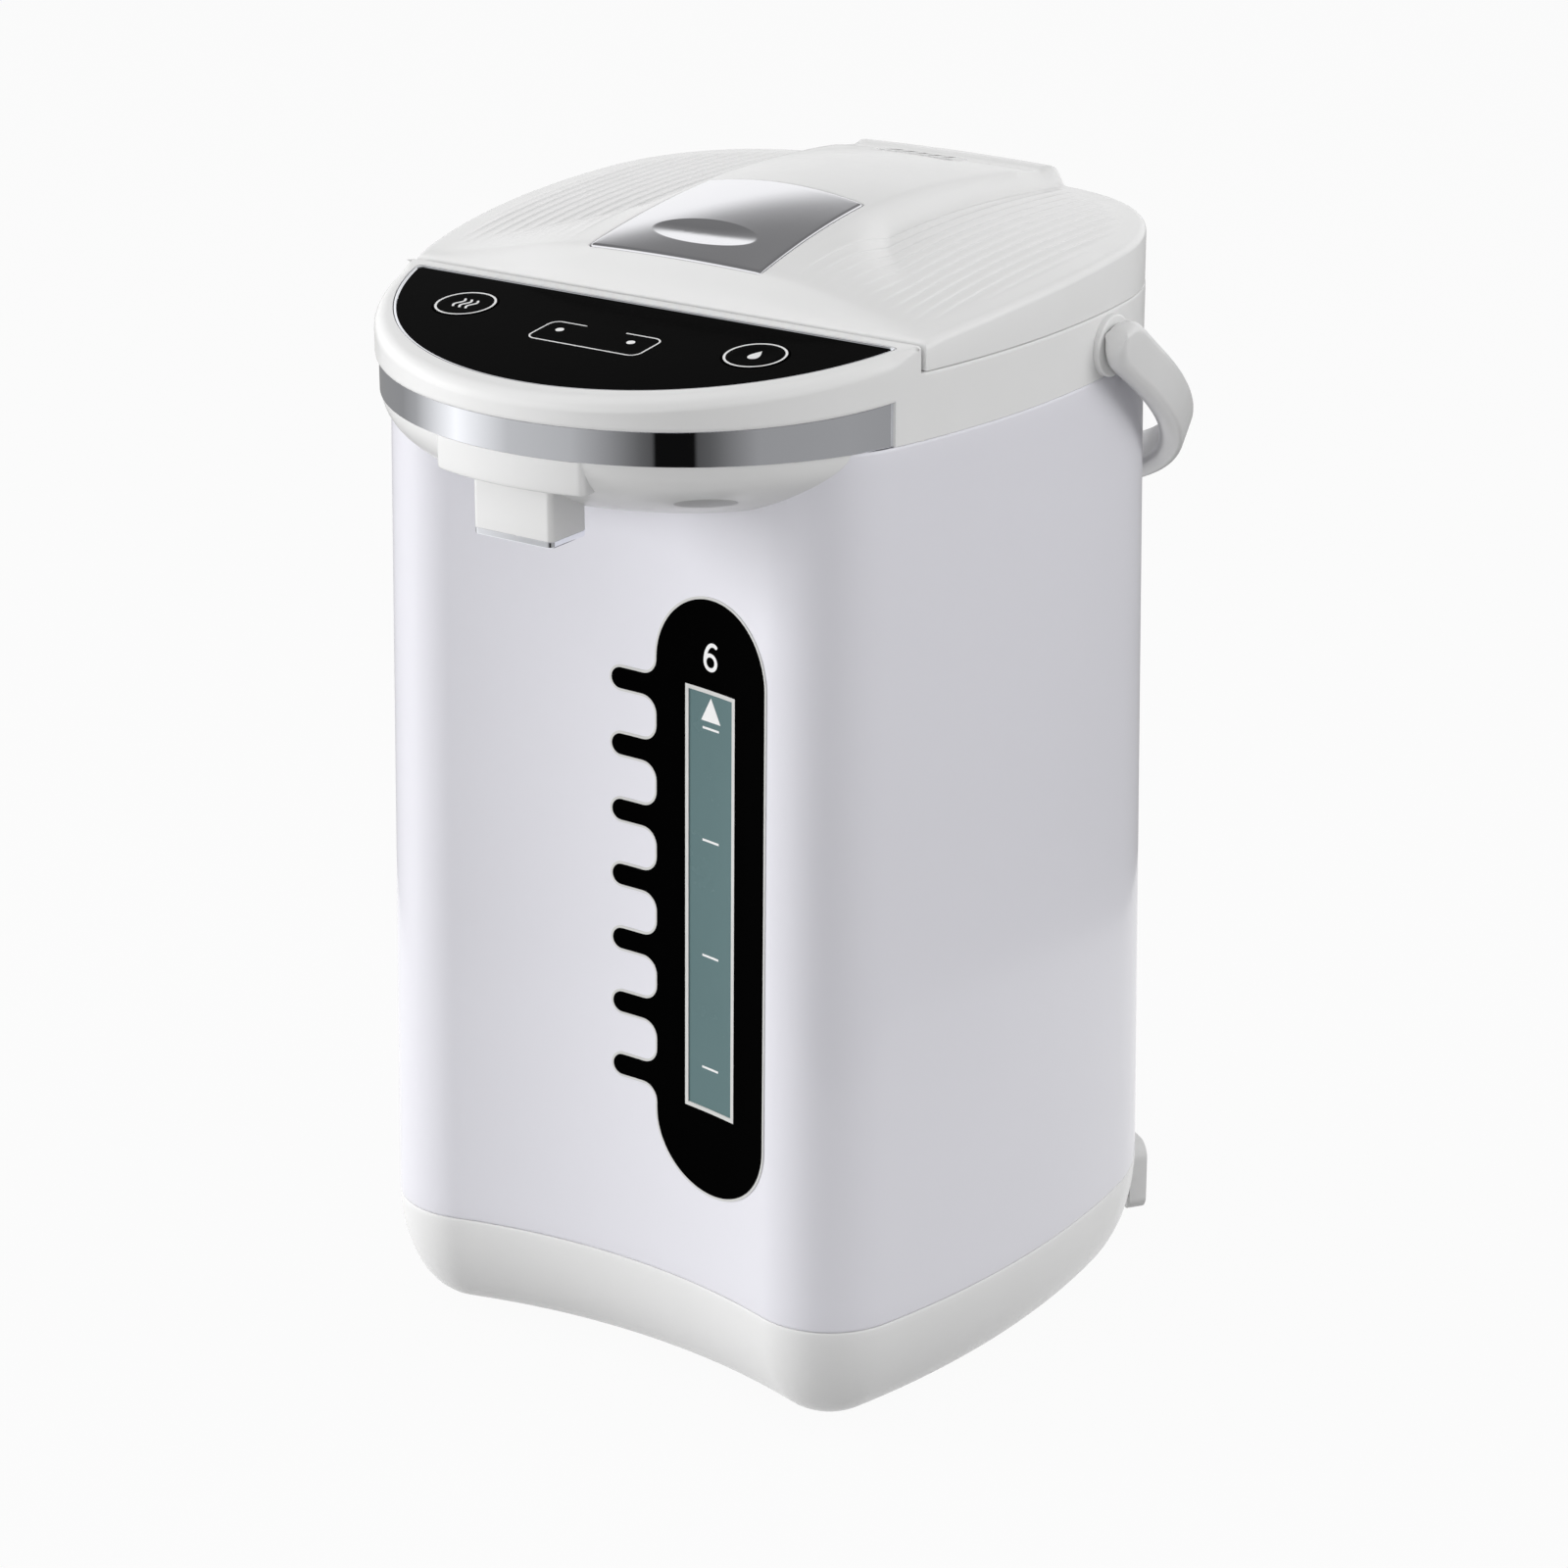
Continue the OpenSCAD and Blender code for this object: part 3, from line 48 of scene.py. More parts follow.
# Drawn in millimetres about the body axis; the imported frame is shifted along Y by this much
POT_Y = 7.6
pot_lo, pot_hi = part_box("inner_pot")
SHIFT = (pot_lo.y + pot_hi.y) / 2 / MM - POT_Y


# ---- materials

CLOUD_DETAIL, RELIEF_DETAIL = 5.0, 2.0


class Shade:
    """A node tree that is filled node by node."""

    def __init__(self, tree):
        self.tree = tree

    def node(self, kind, *inputs, **named):
        return self.feed(self.tree.nodes.new("ShaderNode" + kind), *inputs, **named)

    def feed(self, node, *inputs, **named):
        """Fills inputs, in order or by name, with sockets or values. Names in lower case are the node's settings."""
        pairs = list(zip(node.inputs, inputs))
        for key, value in named.items():
            if key.islower():
                setattr(node, key, value)
            else:
                pairs.append((node.inputs[key.replace("_", " ")], value))
        for socket, value in pairs:
            if isinstance(value, bpy.types.NodeSocket):
                self.tree.links.new(value, socket)
            else:
                socket.default_value = value
        return node

    def ramp(self, factor, lo, hi, stops):
        """Grey levels at stops of a factor that runs from lo to hi."""
        n = self.node("ValToRGB", self.node("MapRange", factor, lo, hi, 0.0, 1.0).outputs[0])
        ends = n.color_ramp.elements
        while len(ends) < len(stops):
            ends.new(0.5)
        for e, (at, level) in zip(ends, stops):
            e.position = (at - lo) / (hi - lo)
        for e, (at, level) in zip(ends, stops):
            e.color = (level, level, level, 1)
        return n.outputs["Color"]


class Finish(Shade):
    """A Principled material whose colour, roughness and relief come from noise in object space, in metres.

    Its slot is its name, unless another is given.
    """

    def __init__(self, name, dark, light, rough, scale, stretch=(1, 1, 1), slot=None, **sockets):
        self.slot = slot or name
        self.mat = bpy.data.materials.new(name)
        self.mat.use_nodes = True
        super().__init__(self.mat.node_tree)
        self.space = self.node("Mapping", self.node("TexCoord").outputs["Object"], Scale=stretch).outputs["Vector"]
        cloud = self.noise(scale, CLOUD_DETAIL)
        self.colour = self.node("Mix", data_type="RGBA", Factor=cloud, A=(*dark, 1), B=(*light, 1)).outputs["Result"]
        span = self.node("MapRange", self.noise(scale * 3.1, CLOUD_DETAIL), 0.3, 0.7, *rough)
        self.bsdf = self.feed(self.tree.nodes["Principled BSDF"], Base_Color=self.colour,
                              Roughness=span.outputs["Result"], **sockets)

    def noise(self, scale, detail):
        return self.node("TexNoise", self.space, Scale=scale, Detail=detail).outputs["Fac"]

    def relief(self, scale, strength, distance):
        bump = self.node("Bump", Strength=strength, Distance=distance, Height=self.noise(scale, RELIEF_DETAIL))
        self.feed(self.bsdf, Normal=bump.outputs["Normal"])
        return self


def grey(v, tint=(1, 1, 1)):
    return tuple(v * t for t in tint)


WHITE = Finish("white_plastic", grey(0.74, (1, 1, 0.995)), grey(0.765), (0.2, 0.27), 40,
               Specular_IOR_Level=0.5).relief(2600, 0.04, 0.0001)
GRIP = Finish("grip_plastic", grey(0.66), grey(0.69), (0.2, 0.27), 40, slot="white_plastic",
              Specular_IOR_Level=0.6).relief(2600, 0.04, 0.0001)
PEARL = Finish("pearl_shell", (0.71, 0.706, 0.756), (0.733, 0.729, 0.779), (0.3, 0.36), 9,
               Coat_Weight=0.5, Coat_Roughness=0.12, Specular_IOR_Level=0.4).relief(5200, 0.04, 0.00005)
CHROME = Finish("chrome_trim", grey(0.9, (0.97, 0.985, 1.03)), grey(0.94, (0.97, 0.985, 1.03)), (0.025, 0.045), 60,
                Metallic=1.0).relief(900, 0.01, 0.00005)
BLACK = Finish("black_gloss", grey(0.0005), grey(0.0009), (0.12, 0.18), 50, Specular_IOR_Level=0.002)
SILVER = Finish("silver_plate", grey(0.87, (0.985, 0.985, 1.02)), grey(0.91, (0.985, 0.985, 1.02)), (0.1, 0.14), 2400,
                Metallic=1.0).relief(5200, 0.03, 0.00004)
STEEL = Finish("steel", grey(0.66, (1, 1, 1.01)), grey(0.7, (1, 1, 1.01)), (0.27, 0.31), 60, stretch=(1, 16, 16),
               Metallic=0.9).relief(60, 0.02, 0.0001)
RUBBER = Finish("black_rubber", grey(0.018), grey(0.03), (0.62, 0.78), 160,
                Specular_IOR_Level=0.3).relief(3000, 0.25, 0.0002)
SILICONE = Finish("silicone", grey(0.66, (1, 1, 0.96)), grey(0.72, (1, 1, 0.97)), (0.36, 0.46), 60,
                  Subsurface_Weight=0.15, Subsurface_Scale=0.002).relief(1800, 0.06, 0.0001)
LENS = Finish("lens", grey(0.78), grey(0.86), (0.12, 0.2), 800, Specular_IOR_Level=0.5)
DARK = Finish("dark_plastic", grey(0.02), grey(0.034), (0.45, 0.6), 120).relief(2200, 0.15, 0.0001)
GLASS = Finish("window_glass", (0.097, 0.161, 0.167), (0.109, 0.177, 0.183), (0.2, 0.28), 30,
               Specular_IOR_Level=0.15)
TUBE = Finish("tube_glass", grey(0.82, (0.96, 1, 1)), grey(0.9, (0.97, 1, 1)), (0.04, 0.08), 50,
              Transmission_Weight=0.85)
PRINT = Finish("white_print", grey(0.76), grey(0.82), (0.4, 0.5), 300, slot="white_plastic", Specular_IOR_Level=0.2)
FRAME_PALE = Finish("pale_frame", grey(0.56, (1, 1, 0.98)), grey(0.62, (1, 1, 0.98)), (0.35, 0.45), 200,
                    slot="white_plastic", Specular_IOR_Level=0.25)
PLUG_GREY = Finish("plug_grey", grey(0.42), grey(0.46), (0.3, 0.4), 200, slot="white_plastic", Specular_IOR_Level=0.3)


def circuit_board():
    """Green lacquer with lighter copper runs under it."""
    f = Finish("circuit_board", (0.012, 0.085, 0.035), (0.02, 0.11, 0.05), (0.3, 0.42), 120)
    runs = f.node("TexBrick", f.space, Scale=190, Mortar_Size=0.035, Color1=(0, 0, 0, 1), Color2=(0, 0, 0, 1),
                  Mortar=(1, 1, 1, 1))
    over = f.node("Mix", data_type="RGBA", Factor=runs.outputs["Color"], A=f.colour, B=(0.07, 0.24, 0.1, 1))
    f.feed(f.bsdf, Base_Color=over.outputs["Result"])
    return f


BY_SLOT = {f.slot: f for f in (PEARL, WHITE, CHROME, BLACK, STEEL, RUBBER, SILICONE, LENS, circuit_board(), DARK, GLASS,
                               TUBE, SILVER)}
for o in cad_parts.values():
    slot_name = o.data.materials[0].name.split(".")[0]
    o.data.materials[0] = BY_SLOT[slot_name].mat


# ---- meshes


class Mesh:
    """Vertices in millimetres about the body axis, and faces."""

    def __init__(self):
        self.v, self.f = [], []

    def add(self, verts, faces):
        o = len(self.v)
        self.v.extend([tuple(map(float, p)) for p in verts])
        self.f.extend([tuple(i + o for i in f) for f in faces])
        return self

    def join(self, *others):
        for m in others:
            self.add(m.v, m.f)
        return self

    def placed(self, fn):
        self.v = [tuple(fn(p)) for p in self.v]
        return self


def to_frame(points):
    """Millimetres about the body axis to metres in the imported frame."""
    return [(x * MM, (y + SHIFT) * MM, z * MM) for x, y, z in points]


# Edges that turn by more degrees than this stay sharp
SHARP = 32


def piece(name, mesh, finish, nodes=(), body="housing", sharp=SHARP):
    """A visible piece that rides on a body and stands in for the named nodes."""
    data = bpy.data.meshes.new(name)
    data.from_pydata(to_frame(mesh.v), [], mesh.f)
    bm = bmesh.new()
    bm.from_mesh(data)
    bmesh.ops.remove_doubles(bm, verts=bm.verts, dist=2e-6)
    bmesh.ops.dissolve_degenerate(bm, edges=bm.edges, dist=1e-6)
    bmesh.ops.recalc_face_normals(bm, faces=bm.faces)
    bm.to_mesh(data)
    bm.free()
    data.shade_smooth()
    data.set_sharp_from_angle(angle=math.radians(sharp))
    data.materials.append(finish.mat)
    obj = bpy.data.objects.new(name, data)
    bpy.context.scene.collection.objects.link(obj)
    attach(obj, body)
    if nodes:
        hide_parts(*nodes)
    return obj


def cut(obj, lo, hi):
    """Cuts a box, given by two corners in millimetres, out of a closed piece."""
    corners = [(x, y, z) for x in (lo[0], hi[0]) for y in (lo[1], hi[1]) for z in (lo[2], hi[2])]
    data = bpy.data.meshes.new("cutter")
    data.from_pydata(to_frame(corners), [], [(0, 1, 3, 2), (4, 6, 7, 5), (0, 4, 5, 1), (2, 3, 7, 6), (0, 2, 6, 4),
                                             (1, 5, 7, 3)])
    cutter = bpy.data.objects.new("cutter", data)
    bpy.context.scene.collection.objects.link(cutter)
    mod = obj.modifiers.new("cut", "BOOLEAN")
    mod.operation = "DIFFERENCE"
    mod.solver = "EXACT"
    mod.object = cutter
    bpy.context.view_layer.update()
    done = bpy.data.meshes.new_from_object(obj.evaluated_get(bpy.context.evaluated_depsgraph_get()))
    obj.modifiers.clear()
    obj.data = done
    done.set_sharp_from_angle(angle=math.radians(SHARP))
    bpy.data.objects.remove(cutter)


def shell(outer, inner, skip=None, wrap=True):
    """A closed wall between two grids of points, rows by columns, with the skipped cells left open."""
    outer, inner = np.asarray(outer, float), np.asarray(inner, float)
    rows, cols, _ = outer.shape
    span = cols if wrap else cols - 1
    keep = np.ones((rows - 1, span), bool) if skip is None else ~skip
    far = rows * cols
    faces = []
    for i in range(rows - 1):
        for j in range(span):
            if not keep[i, j]:
                continue
            k = (j + 1) % cols
            a, b, c, d = i * cols + j, i * cols + k, (i + 1) * cols + k, (i + 1) * cols + j
            faces += [(a, b, c, d), (far + d, far + c, far + b, far + a)]
            for p, q, ii, jj in ((a, b, i - 1, j), (b, c, i, j + 1), (c, d, i + 1, j), (d, a, i, j - 1)):
                jj = jj % span if wrap else jj
                if ii < 0 or ii >= rows - 1 or jj < 0 or jj >= span or not keep[ii, jj]:
                    faces.append((q, p, far + p, far + q))
    return Mesh().add(np.concatenate([outer.reshape(-1, 3), inner.reshape(-1, 3)]), faces)


def skin(rings, ends=False):
    """Faces through closed rings of equal count, with flat ends if asked."""
    rings = np.asarray(rings, float)
    rows, cols, _ = rings.shape
    faces = []
    for i in range(rows - 1):
        for j in range(cols):
            k = (j + 1) % cols
            faces.append((i * cols + j, i * cols + k, (i + 1) * cols + k, (i + 1) * cols + j))
    if ends:
        faces += [tuple(range(cols))[::-1], tuple((rows - 1) * cols + j for j in range(cols))]
    return Mesh().add(rings.reshape(-1, 3), faces)


def inside(pts, loop):
    """Whether each point lies inside a closed line."""
    x, y = pts[:, 0], pts[:, 1]
    hit = np.zeros(len(pts), bool)
    for (x0, y0), (x1, y1) in zip(loop, np.roll(loop, -1, 0)):
        if y0 != y1:
            hit ^= ((y0 > y) != (y1 > y)) & (x < (x1 - x0) * (y - y0) / (y1 - y0) + x0)
    return hit


def reach(pts, loop):
    """Distance of each point to a closed line."""
    best = np.full(len(pts), 1e9)
    for a, b in zip(loop, np.roll(loop, -1, 0)):
        e = b - a
        n = e @ e
        if n < 1e-12:
            continue
        t = np.clip(((pts - a) @ e) / n, 0, 1)
        best = np.minimum(best, np.hypot(*(pts - a - t[:, None] * e).T))
    return best


def spaced(loop, step):
    """The closed line with more points, none further apart than step."""
    out = []
    for a, b in zip(loop, np.roll(loop, -1, 0)):
        n = max(1, math.ceil(np.hypot(*(b - a)) / step))
        out += [a + (b - a) * i / n for i in range(n)]
    return np.array(out)


def plate(loops, top, bottom, xs=(), ys=(), rings=(), spare=0.12):
    """A closed solid over the area inside loops[0] and outside the rest. top and bottom map plan points to space.

    The mesh follows rings, closed lines inside the area, and its grid of xs and ys keeps spare away from every line.
    """
    def within(p):
        return inside(p, loops[0]) & ~np.any([inside(p, l) for l in loops[1:]], axis=0)

    lines = [*loops, *rings]
    pts = np.concatenate(lines)
    edges, at = [], 0
    for l in lines:
        edges += [(at + i, at + (i + 1) % len(l)) for i in range(len(l))]
        at += len(l)
    free = np.array([(x, y) for x in xs for y in ys], float).reshape(-1, 2)
    if len(free):
        free = free[within(free)]
        gap = np.min([reach(free, l) for l in lines], axis=0)
        pts = np.concatenate([pts, free[gap > spare]])
    out = delaunay_2d_cdt([Vector(p) for p in pts], edges, [], 0, 1e-5)
    flat = np.array([tuple(p) for p in out[0]])
    tris = np.array([t for t in out[2] if len(t) == 3])
    tris = tris[within(flat[tris].mean(1))]
    n = len(flat)
    seen = {}
    for a, b, c in tris.tolist():
        for e in ((a, b), (b, c), (c, a)):
            seen[e] = seen.get(e, 0) + 1
    rim = [(a, b) for a, b in seen if (b, a) not in seen]
    faces = [tuple(t) for t in tris.tolist()] + [(c + n, b + n, a + n) for a, b, c in tris.tolist()]
    faces += [(b, a, a + n, b + n) for a, b in rim]
    used = sorted({i for f in faces for i in f})
    new = {i: k for k, i in enumerate(used)}
    verts = np.concatenate([top(flat), bottom(flat)])
    return Mesh().add(verts[used], [tuple(new[i] for i in f) for f in faces])


def smooth(t):
    """An S curve from 0 at 0 to 1 at 1."""
    u = np.clip(t, 0, 1)
    return u * u * (3 - 2 * u)


def arc(c, r, a0, a1, n):
    """Points along an arc, in n steps. Angles are in degrees."""
    a = np.radians(np.linspace(a0, a1, n + 1))
    return np.stack([c[0] + r * np.cos(a), c[1] + r * np.sin(a)], 1)


def unit(degrees):
    return np.array([math.cos(math.radians(degrees)), math.sin(math.radians(degrees))])


def circle(c, r, n=48):
    return arc(c, r, 0, 360, n)[:-1]


def both(half):
    """A closed plan line from its right half, front centre to rear centre."""
    half = np.asarray(half)
    return np.concatenate([half, half[-2:0:-1] * (-1, 1)])


def rounded(loop, radius, n=6):
    """The closed line with its sharp corners rounded."""
    loop = np.asarray(loop, float)
    out = []
    for p, q, s in zip(np.roll(loop, 1, 0), loop, np.roll(loop, -1, 0)):
        u, v = p - q, s - q
        u, v = u / np.hypot(*u), v / np.hypot(*v)
        turn = math.pi - math.acos(np.clip(u @ v, -1, 1))
        if turn < 0.4:
            out.append(q)
            continue
        half = (math.pi - turn) / 2
        centre = q + (u + v) / np.hypot(*(u + v)) * radius / math.sin(half)
        a, b = q + u * radius / math.tan(half), q + v * radius / math.tan(half)
        a0 = math.atan2(*(a - centre)[::-1])
        da = (math.atan2(*(b - centre)[::-1]) - a0 + math.pi) % (2 * math.pi) - math.pi
        out += [centre + radius * np.array([math.cos(a0 + da * i / n), math.sin(a0 + da * i / n)])
                for i in range(n + 1)]
    return np.array(out)


def rect(x0, y0, x1, y1, r=0.0, n=6):
    loop = np.array([(x0, y0), (x1, y0), (x1, y1), (x0, y1)], float)
    return rounded(loop, r, n) if r else loop


def stroke(path, width):
    """The outline of an open line drawn with a round pen."""
    path = np.asarray(path, float)
    t = np.gradient(path, axis=0)
    t /= np.hypot(*t.T)[:, None]
    n = np.stack([-t[:, 1], t[:, 0]], 1) * width / 2
    caps = []
    for p, d in ((path[-1], t[-1]), (path[0], -t[0])):
        a0 = math.degrees(math.atan2(d[1], d[0]))
        caps.append(arc(p, width / 2, a0 - 90, a0 + 90, 8)[1:-1])
    return [np.concatenate([path - n, caps[0], (path + n)[::-1], caps[1]])]


def drum_x(x0, x1, y, z, r, edge):
    """A cylinder along X with rounded rims."""
    turns = np.linspace(0.3, math.pi / 2, 4)
    rim = [(0.0, r - edge)] + [(edge * (1 - math.cos(a)), r - edge * (1 - math.sin(a))) for a in turns]
    profile = [(x0 + d, r) for d, r in rim] + [(x1 - d, r) for d, r in rim[::-1]]
    return skin([np.column_stack([np.full(48, x), circle((y, z), r, 48)]) for x, r in profile], ends=True)


def edge_drop(d, r):
    """How far a surface has dropped at distance d from its edge, where the edge is rounded by r."""
    return np.where(d < r, r - np.sqrt(np.maximum(0, r * r - (r - np.minimum(d, r)) ** 2)), 0)


def normals(loop):
    """Unit vectors across a closed line, to the left of its run."""
    along = np.roll(loop, -1, 0) - np.roll(loop, 1, 0)
    along /= np.hypot(*along.T)[:, None]
    return np.stack([-along[:, 1], along[:, 0]], 1)


def at_z(loop, z):
    return np.column_stack([loop, np.full(len(loop), z)])


# ---- plan lines of the body, as in the solids

BODY_HALF = 115.0
# Radii of the sides, the front corners (FC), the hollow front, the rear corners (RC) and the rear wall
SIDE_R, FC_R, HOLLOW_R, RC_R, REAR_R = 328.5, 29.0, 226.0, 78.0, 222.0
# Degrees at which the sides meet the corners, and the scale of the plan at the collar
F_TURN, R_TURN, TOP_K = 16.0, 7.7, 0.956
SIDE_CX = BODY_HALF - SIDE_R
FC = np.array([SIDE_CX, 0]) + (SIDE_R - FC_R) * unit(-F_TURN)
HOLLOW_Y = FC[1] - math.sqrt((HOLLOW_R + FC_R) ** 2 - FC[0] ** 2)
HOLLOW_A = math.degrees(math.atan2(FC[1] - HOLLOW_Y, FC[0]))
HOLLOW_END = FC[0] * HOLLOW_R / (HOLLOW_R + FC_R)
RC = np.array([SIDE_CX, 0]) + (SIDE_R - RC_R) * unit(R_TURN)
REAR_CY = RC[1] - math.sqrt((REAR_R - RC_R) ** 2 - RC[0] ** 2)
REAR_A = math.degrees(math.atan2(RC[1] - REAR_CY, RC[0]))
BASE_SEAM, COLLAR_SEAM, DECK = 45.0, 344.5, 366.4
LID_Z = DECK + 0.3
COLLAR_REAR = (REAR_CY + REAR_R) * TOP_K
CS_X, CS_R = SIDE_CX * TOP_K, SIDE_R * TOP_K
BEAK_C = 54.6
BEAK_R = CS_R - math.hypot(CS_X, BEAK_C)
BEAK_A = math.degrees(math.atan2(-BEAK_C, -CS_X))
HOOD_REAR = -72.2
LID_FRONT = 71.5
# The level window as x0, z0, x1, z1, and how far from the middle the front's mesh columns stand upright
WINDOW = (28.95, 110.5, 51.45, 258.5)
STRAIGHT_X = 60.0


def rear_half(w):
    """The right rear corner and half of the rear wall, drawn in by w."""
    return np.concatenate([arc(RC, RC_R - w, R_TURN, REAR_A, 24)[1:],
                           arc((0, REAR_CY), REAR_R - w, REAR_A, 90, 12)[1:]])


def front_y(x, k, w):
    """Y of the hollow front face at X, where the plan is scaled by k and drawn in by w."""
    return k * (HOLLOW_Y + np.sqrt((HOLLOW_R + w) ** 2 - (x / k) ** 2))


FRONT_XS = np.unique(np.r_[np.arange(0, STRAIGHT_X + 0.1, 3.0), WINDOW[0], WINDOW[2]])


def body_half(w, k=1.0):
    """Right half of the body plan. Its first columns keep a constant X at every height."""
    a = math.degrees(math.acos(STRAIGHT_X / k / (HOLLOW_R + w)))
    return np.concatenate([
        np.stack([FRONT_XS, front_y(FRONT_XS, k, w)], 1),
        k * arc((0, HOLLOW_Y), HOLLOW_R + w, a, HOLLOW_A, 4)[1:],
        k * arc(FC, FC_R - w, HOLLOW_A - 180, -F_TURN, 20)[1:],
        k * arc((SIDE_CX, 0), SIDE_R - w, -F_TURN, R_TURN, 24)[1:],
        k * rear_half(w)])


def body_k(z):
    """The scale of the plan at height z: the body narrows upward."""
    return 1 - (1 - TOP_K) * (z - BASE_SEAM) / (COLLAR_SEAM - BASE_SEAM)


# Body sheet, with the level window's opening left in it. Between two heights its rows are even
SHEET_T, EVEN_FROM, EVEN_TO = 0.8, 52, 338
EDGE = [(0.0, 0.5), (0.2, 0.24), (0.5, 0.07), (1.0, 0.0)]
levels = [(BASE_SEAM + d, w) for d, w in EDGE]
levels += [(z, 0.0) for z in np.r_[np.linspace(EVEN_FROM, WINDOW[1], 6), np.linspace(WINDOW[1], WINDOW[3], 12)[1:],
                                   np.linspace(WINDOW[3], EVEN_TO, 7)[1:]]]
levels += [(COLLAR_SEAM - d, w) for d, w in EDGE[::-1]]
outer = [at_z(both(body_half(w, body_k(z))), z) for z, w in levels]
inner = [at_z(both(body_half(SHEET_T, body_k(z))), z) for z, w in levels]
heights = np.array([z for z, w in levels])
cells = np.zeros((len(levels) - 1, len(outer[0])), bool)
mid_z = (heights[1:] + heights[:-1]) / 2
# Any row would do here, since the front columns keep their X
row = outer[10]
mid_x = (row[:, 0] + np.roll(row, -1, 0)[:, 0]) / 2
front = row[:, 1] < 0
cells[np.ix_((mid_z > WINDOW[1]) & (mid_z < WINDOW[3]),
             (mid_x > WINDOW[0]) & (mid_x < WINDOW[2]) & front)] = True
piece("body_shell", shell(outer, inner, cells), PEARL, ["outer_shell"])

# Base moulding with its rounded foot, open behind the power inlet
BASE_Z, BASE_T, TUCK = 5.0, 3.5, 23.5
INLET_TURN = 54
INLET_OUT, INLET_SIDE = unit(INLET_TURN), unit(INLET_TURN + 90)
INLET, INLET_Z, INLET_HALF, INLET_DEEP = RC + RC_R * INLET_OUT, 25.5, (11.5, 8.5), 30


def tuck(z):
    """How far the wall has drawn in at height z of the rounded foot."""
    return TUCK * (1 - math.sqrt(max(0, 1 - ((BASE_SEAM - z) / (BASE_SEAM - BASE_Z)) ** 2)))


levels = [(BASE_SEAM - (BASE_SEAM - BASE_Z) * math.cos(a), 0.0) for a in np.linspace(0.0, math.pi / 2 * 0.985, 26)]
levels += [(BASE_SEAM - 0.5, 0.08), (BASE_SEAM - 0.2, 0.3), (BASE_SEAM, 0.8)]
outer = np.array([at_z(both(body_half(tuck(z) + w)), z) for z, w in levels])
inner = np.array([at_z(both(body_half(tuck(z) + BASE_T)), z) for z, w in levels])
mid = (outer[1:] + outer[:-1]) / 2
mid = (mid + np.roll(mid, -1, 1)) / 2
off = mid[..., :2] - INLET
cells = ((abs(off @ INLET_SIDE) < INLET_HALF[0]) & (abs(mid[..., 2] - INLET_Z) < INLET_HALF[1])
         & (off @ INLET_OUT > -INLET_DEEP))
piece("base_moulding", shell(outer, inner, cells), WHITE, ["base_housing"])


# ---- collar, hood and panel

TILT = math.radians(7)
PANEL_Y, PANEL_Z = -78.0, 373.8
PANEL_R, PANEL_BACK, PANEL_T = 98.0, 27.4, 2.0
# The hood's top lies above the panel's, and the floor of its pocket below
HOOD_LIFT, POCKET_Z = 0.5, -2.2


def on_panel(x, y, z):
    """Panel coordinates to the body's: x across, -y to the front, z out of the panel."""
    return np.stack([x, PANEL_Y + y * math.cos(TILT) - z * math.sin(TILT),
                     PANEL_Z + y * math.sin(TILT) + z * math.cos(TILT)], -1)


def flat_on_panel(z):
    """Plan points in panel coordinates to space, at height z over the panel."""
    return lambda p: on_panel(p[:, 0], p[:, 1], np.full(len(p), z))


def panel_sheet(loops, top, foot):
    """A flat plate on the panel, between two heights over it."""
    return plate(loops, flat_on_panel(top), flat_on_panel(foot))


def panel_loop(w, n=90):
    """The D outline of the panel, grown by w, in panel coordinates."""
    r, y = PANEL_R + w, w
    a = math.degrees(math.asin((y - PANEL_BACK) / r))
    return rounded(arc((0, PANEL_BACK), r, -180 - a, a, n), 1.6 + 0.4 * max(0, w))


def hood_top(y):
    return PANEL_Z + HOOD_LIFT / math.cos(TILT) + (y - PANEL_Y) * math.tan(TILT)


BAND_END, BAND_IN, BAND_T = -83.7, 1.2, 1.0
BAND_TOP, BAND_RISE, BAND_FRONT = 355.2, 3.3, -157.4
BAND_A = math.degrees(math.asin((BAND_END + BEAK_C) / BEAK_R))


def closed(half, y):
    """A plan line from its right half, closed by a straight line across the body at y."""
    line = np.concatenate([half, half[-2::-1] * (-1, 1)])
    across = np.linspace(line[-1, 0], line[0, 0], 42)[1:-1]
    return np.concatenate([line, np.stack([across, np.full(len(across), y)], 1)])


# Hood: its plan marks the end of the band
a = math.degrees(math.asin(HOOD_REAR / CS_R))
hood = closed(np.concatenate([arc((CS_X, 0), CS_R, a, BEAK_A, 6), arc((0, -BEAK_C), BEAK_R, BEAK_A, BAND_A, 2)[1:],
                              arc((0, -BEAK_C), BEAK_R, BAND_A - 0.03, -90, 56)]), HOOD_REAR)
# The rear corners are square below the deck and rounded above it
square, hood = rounded(hood, 0.0, 8), rounded(hood, 2.2, 8)
inward = -normals(hood)


def band_top(p):
    """Upper edge of the bright band: it rises a little toward its two ends."""
    return BAND_TOP + BAND_RISE * np.clip((p[:, 1] - BAND_FRONT) / (BAND_END - BAND_FRONT), 0, 1) ** 2


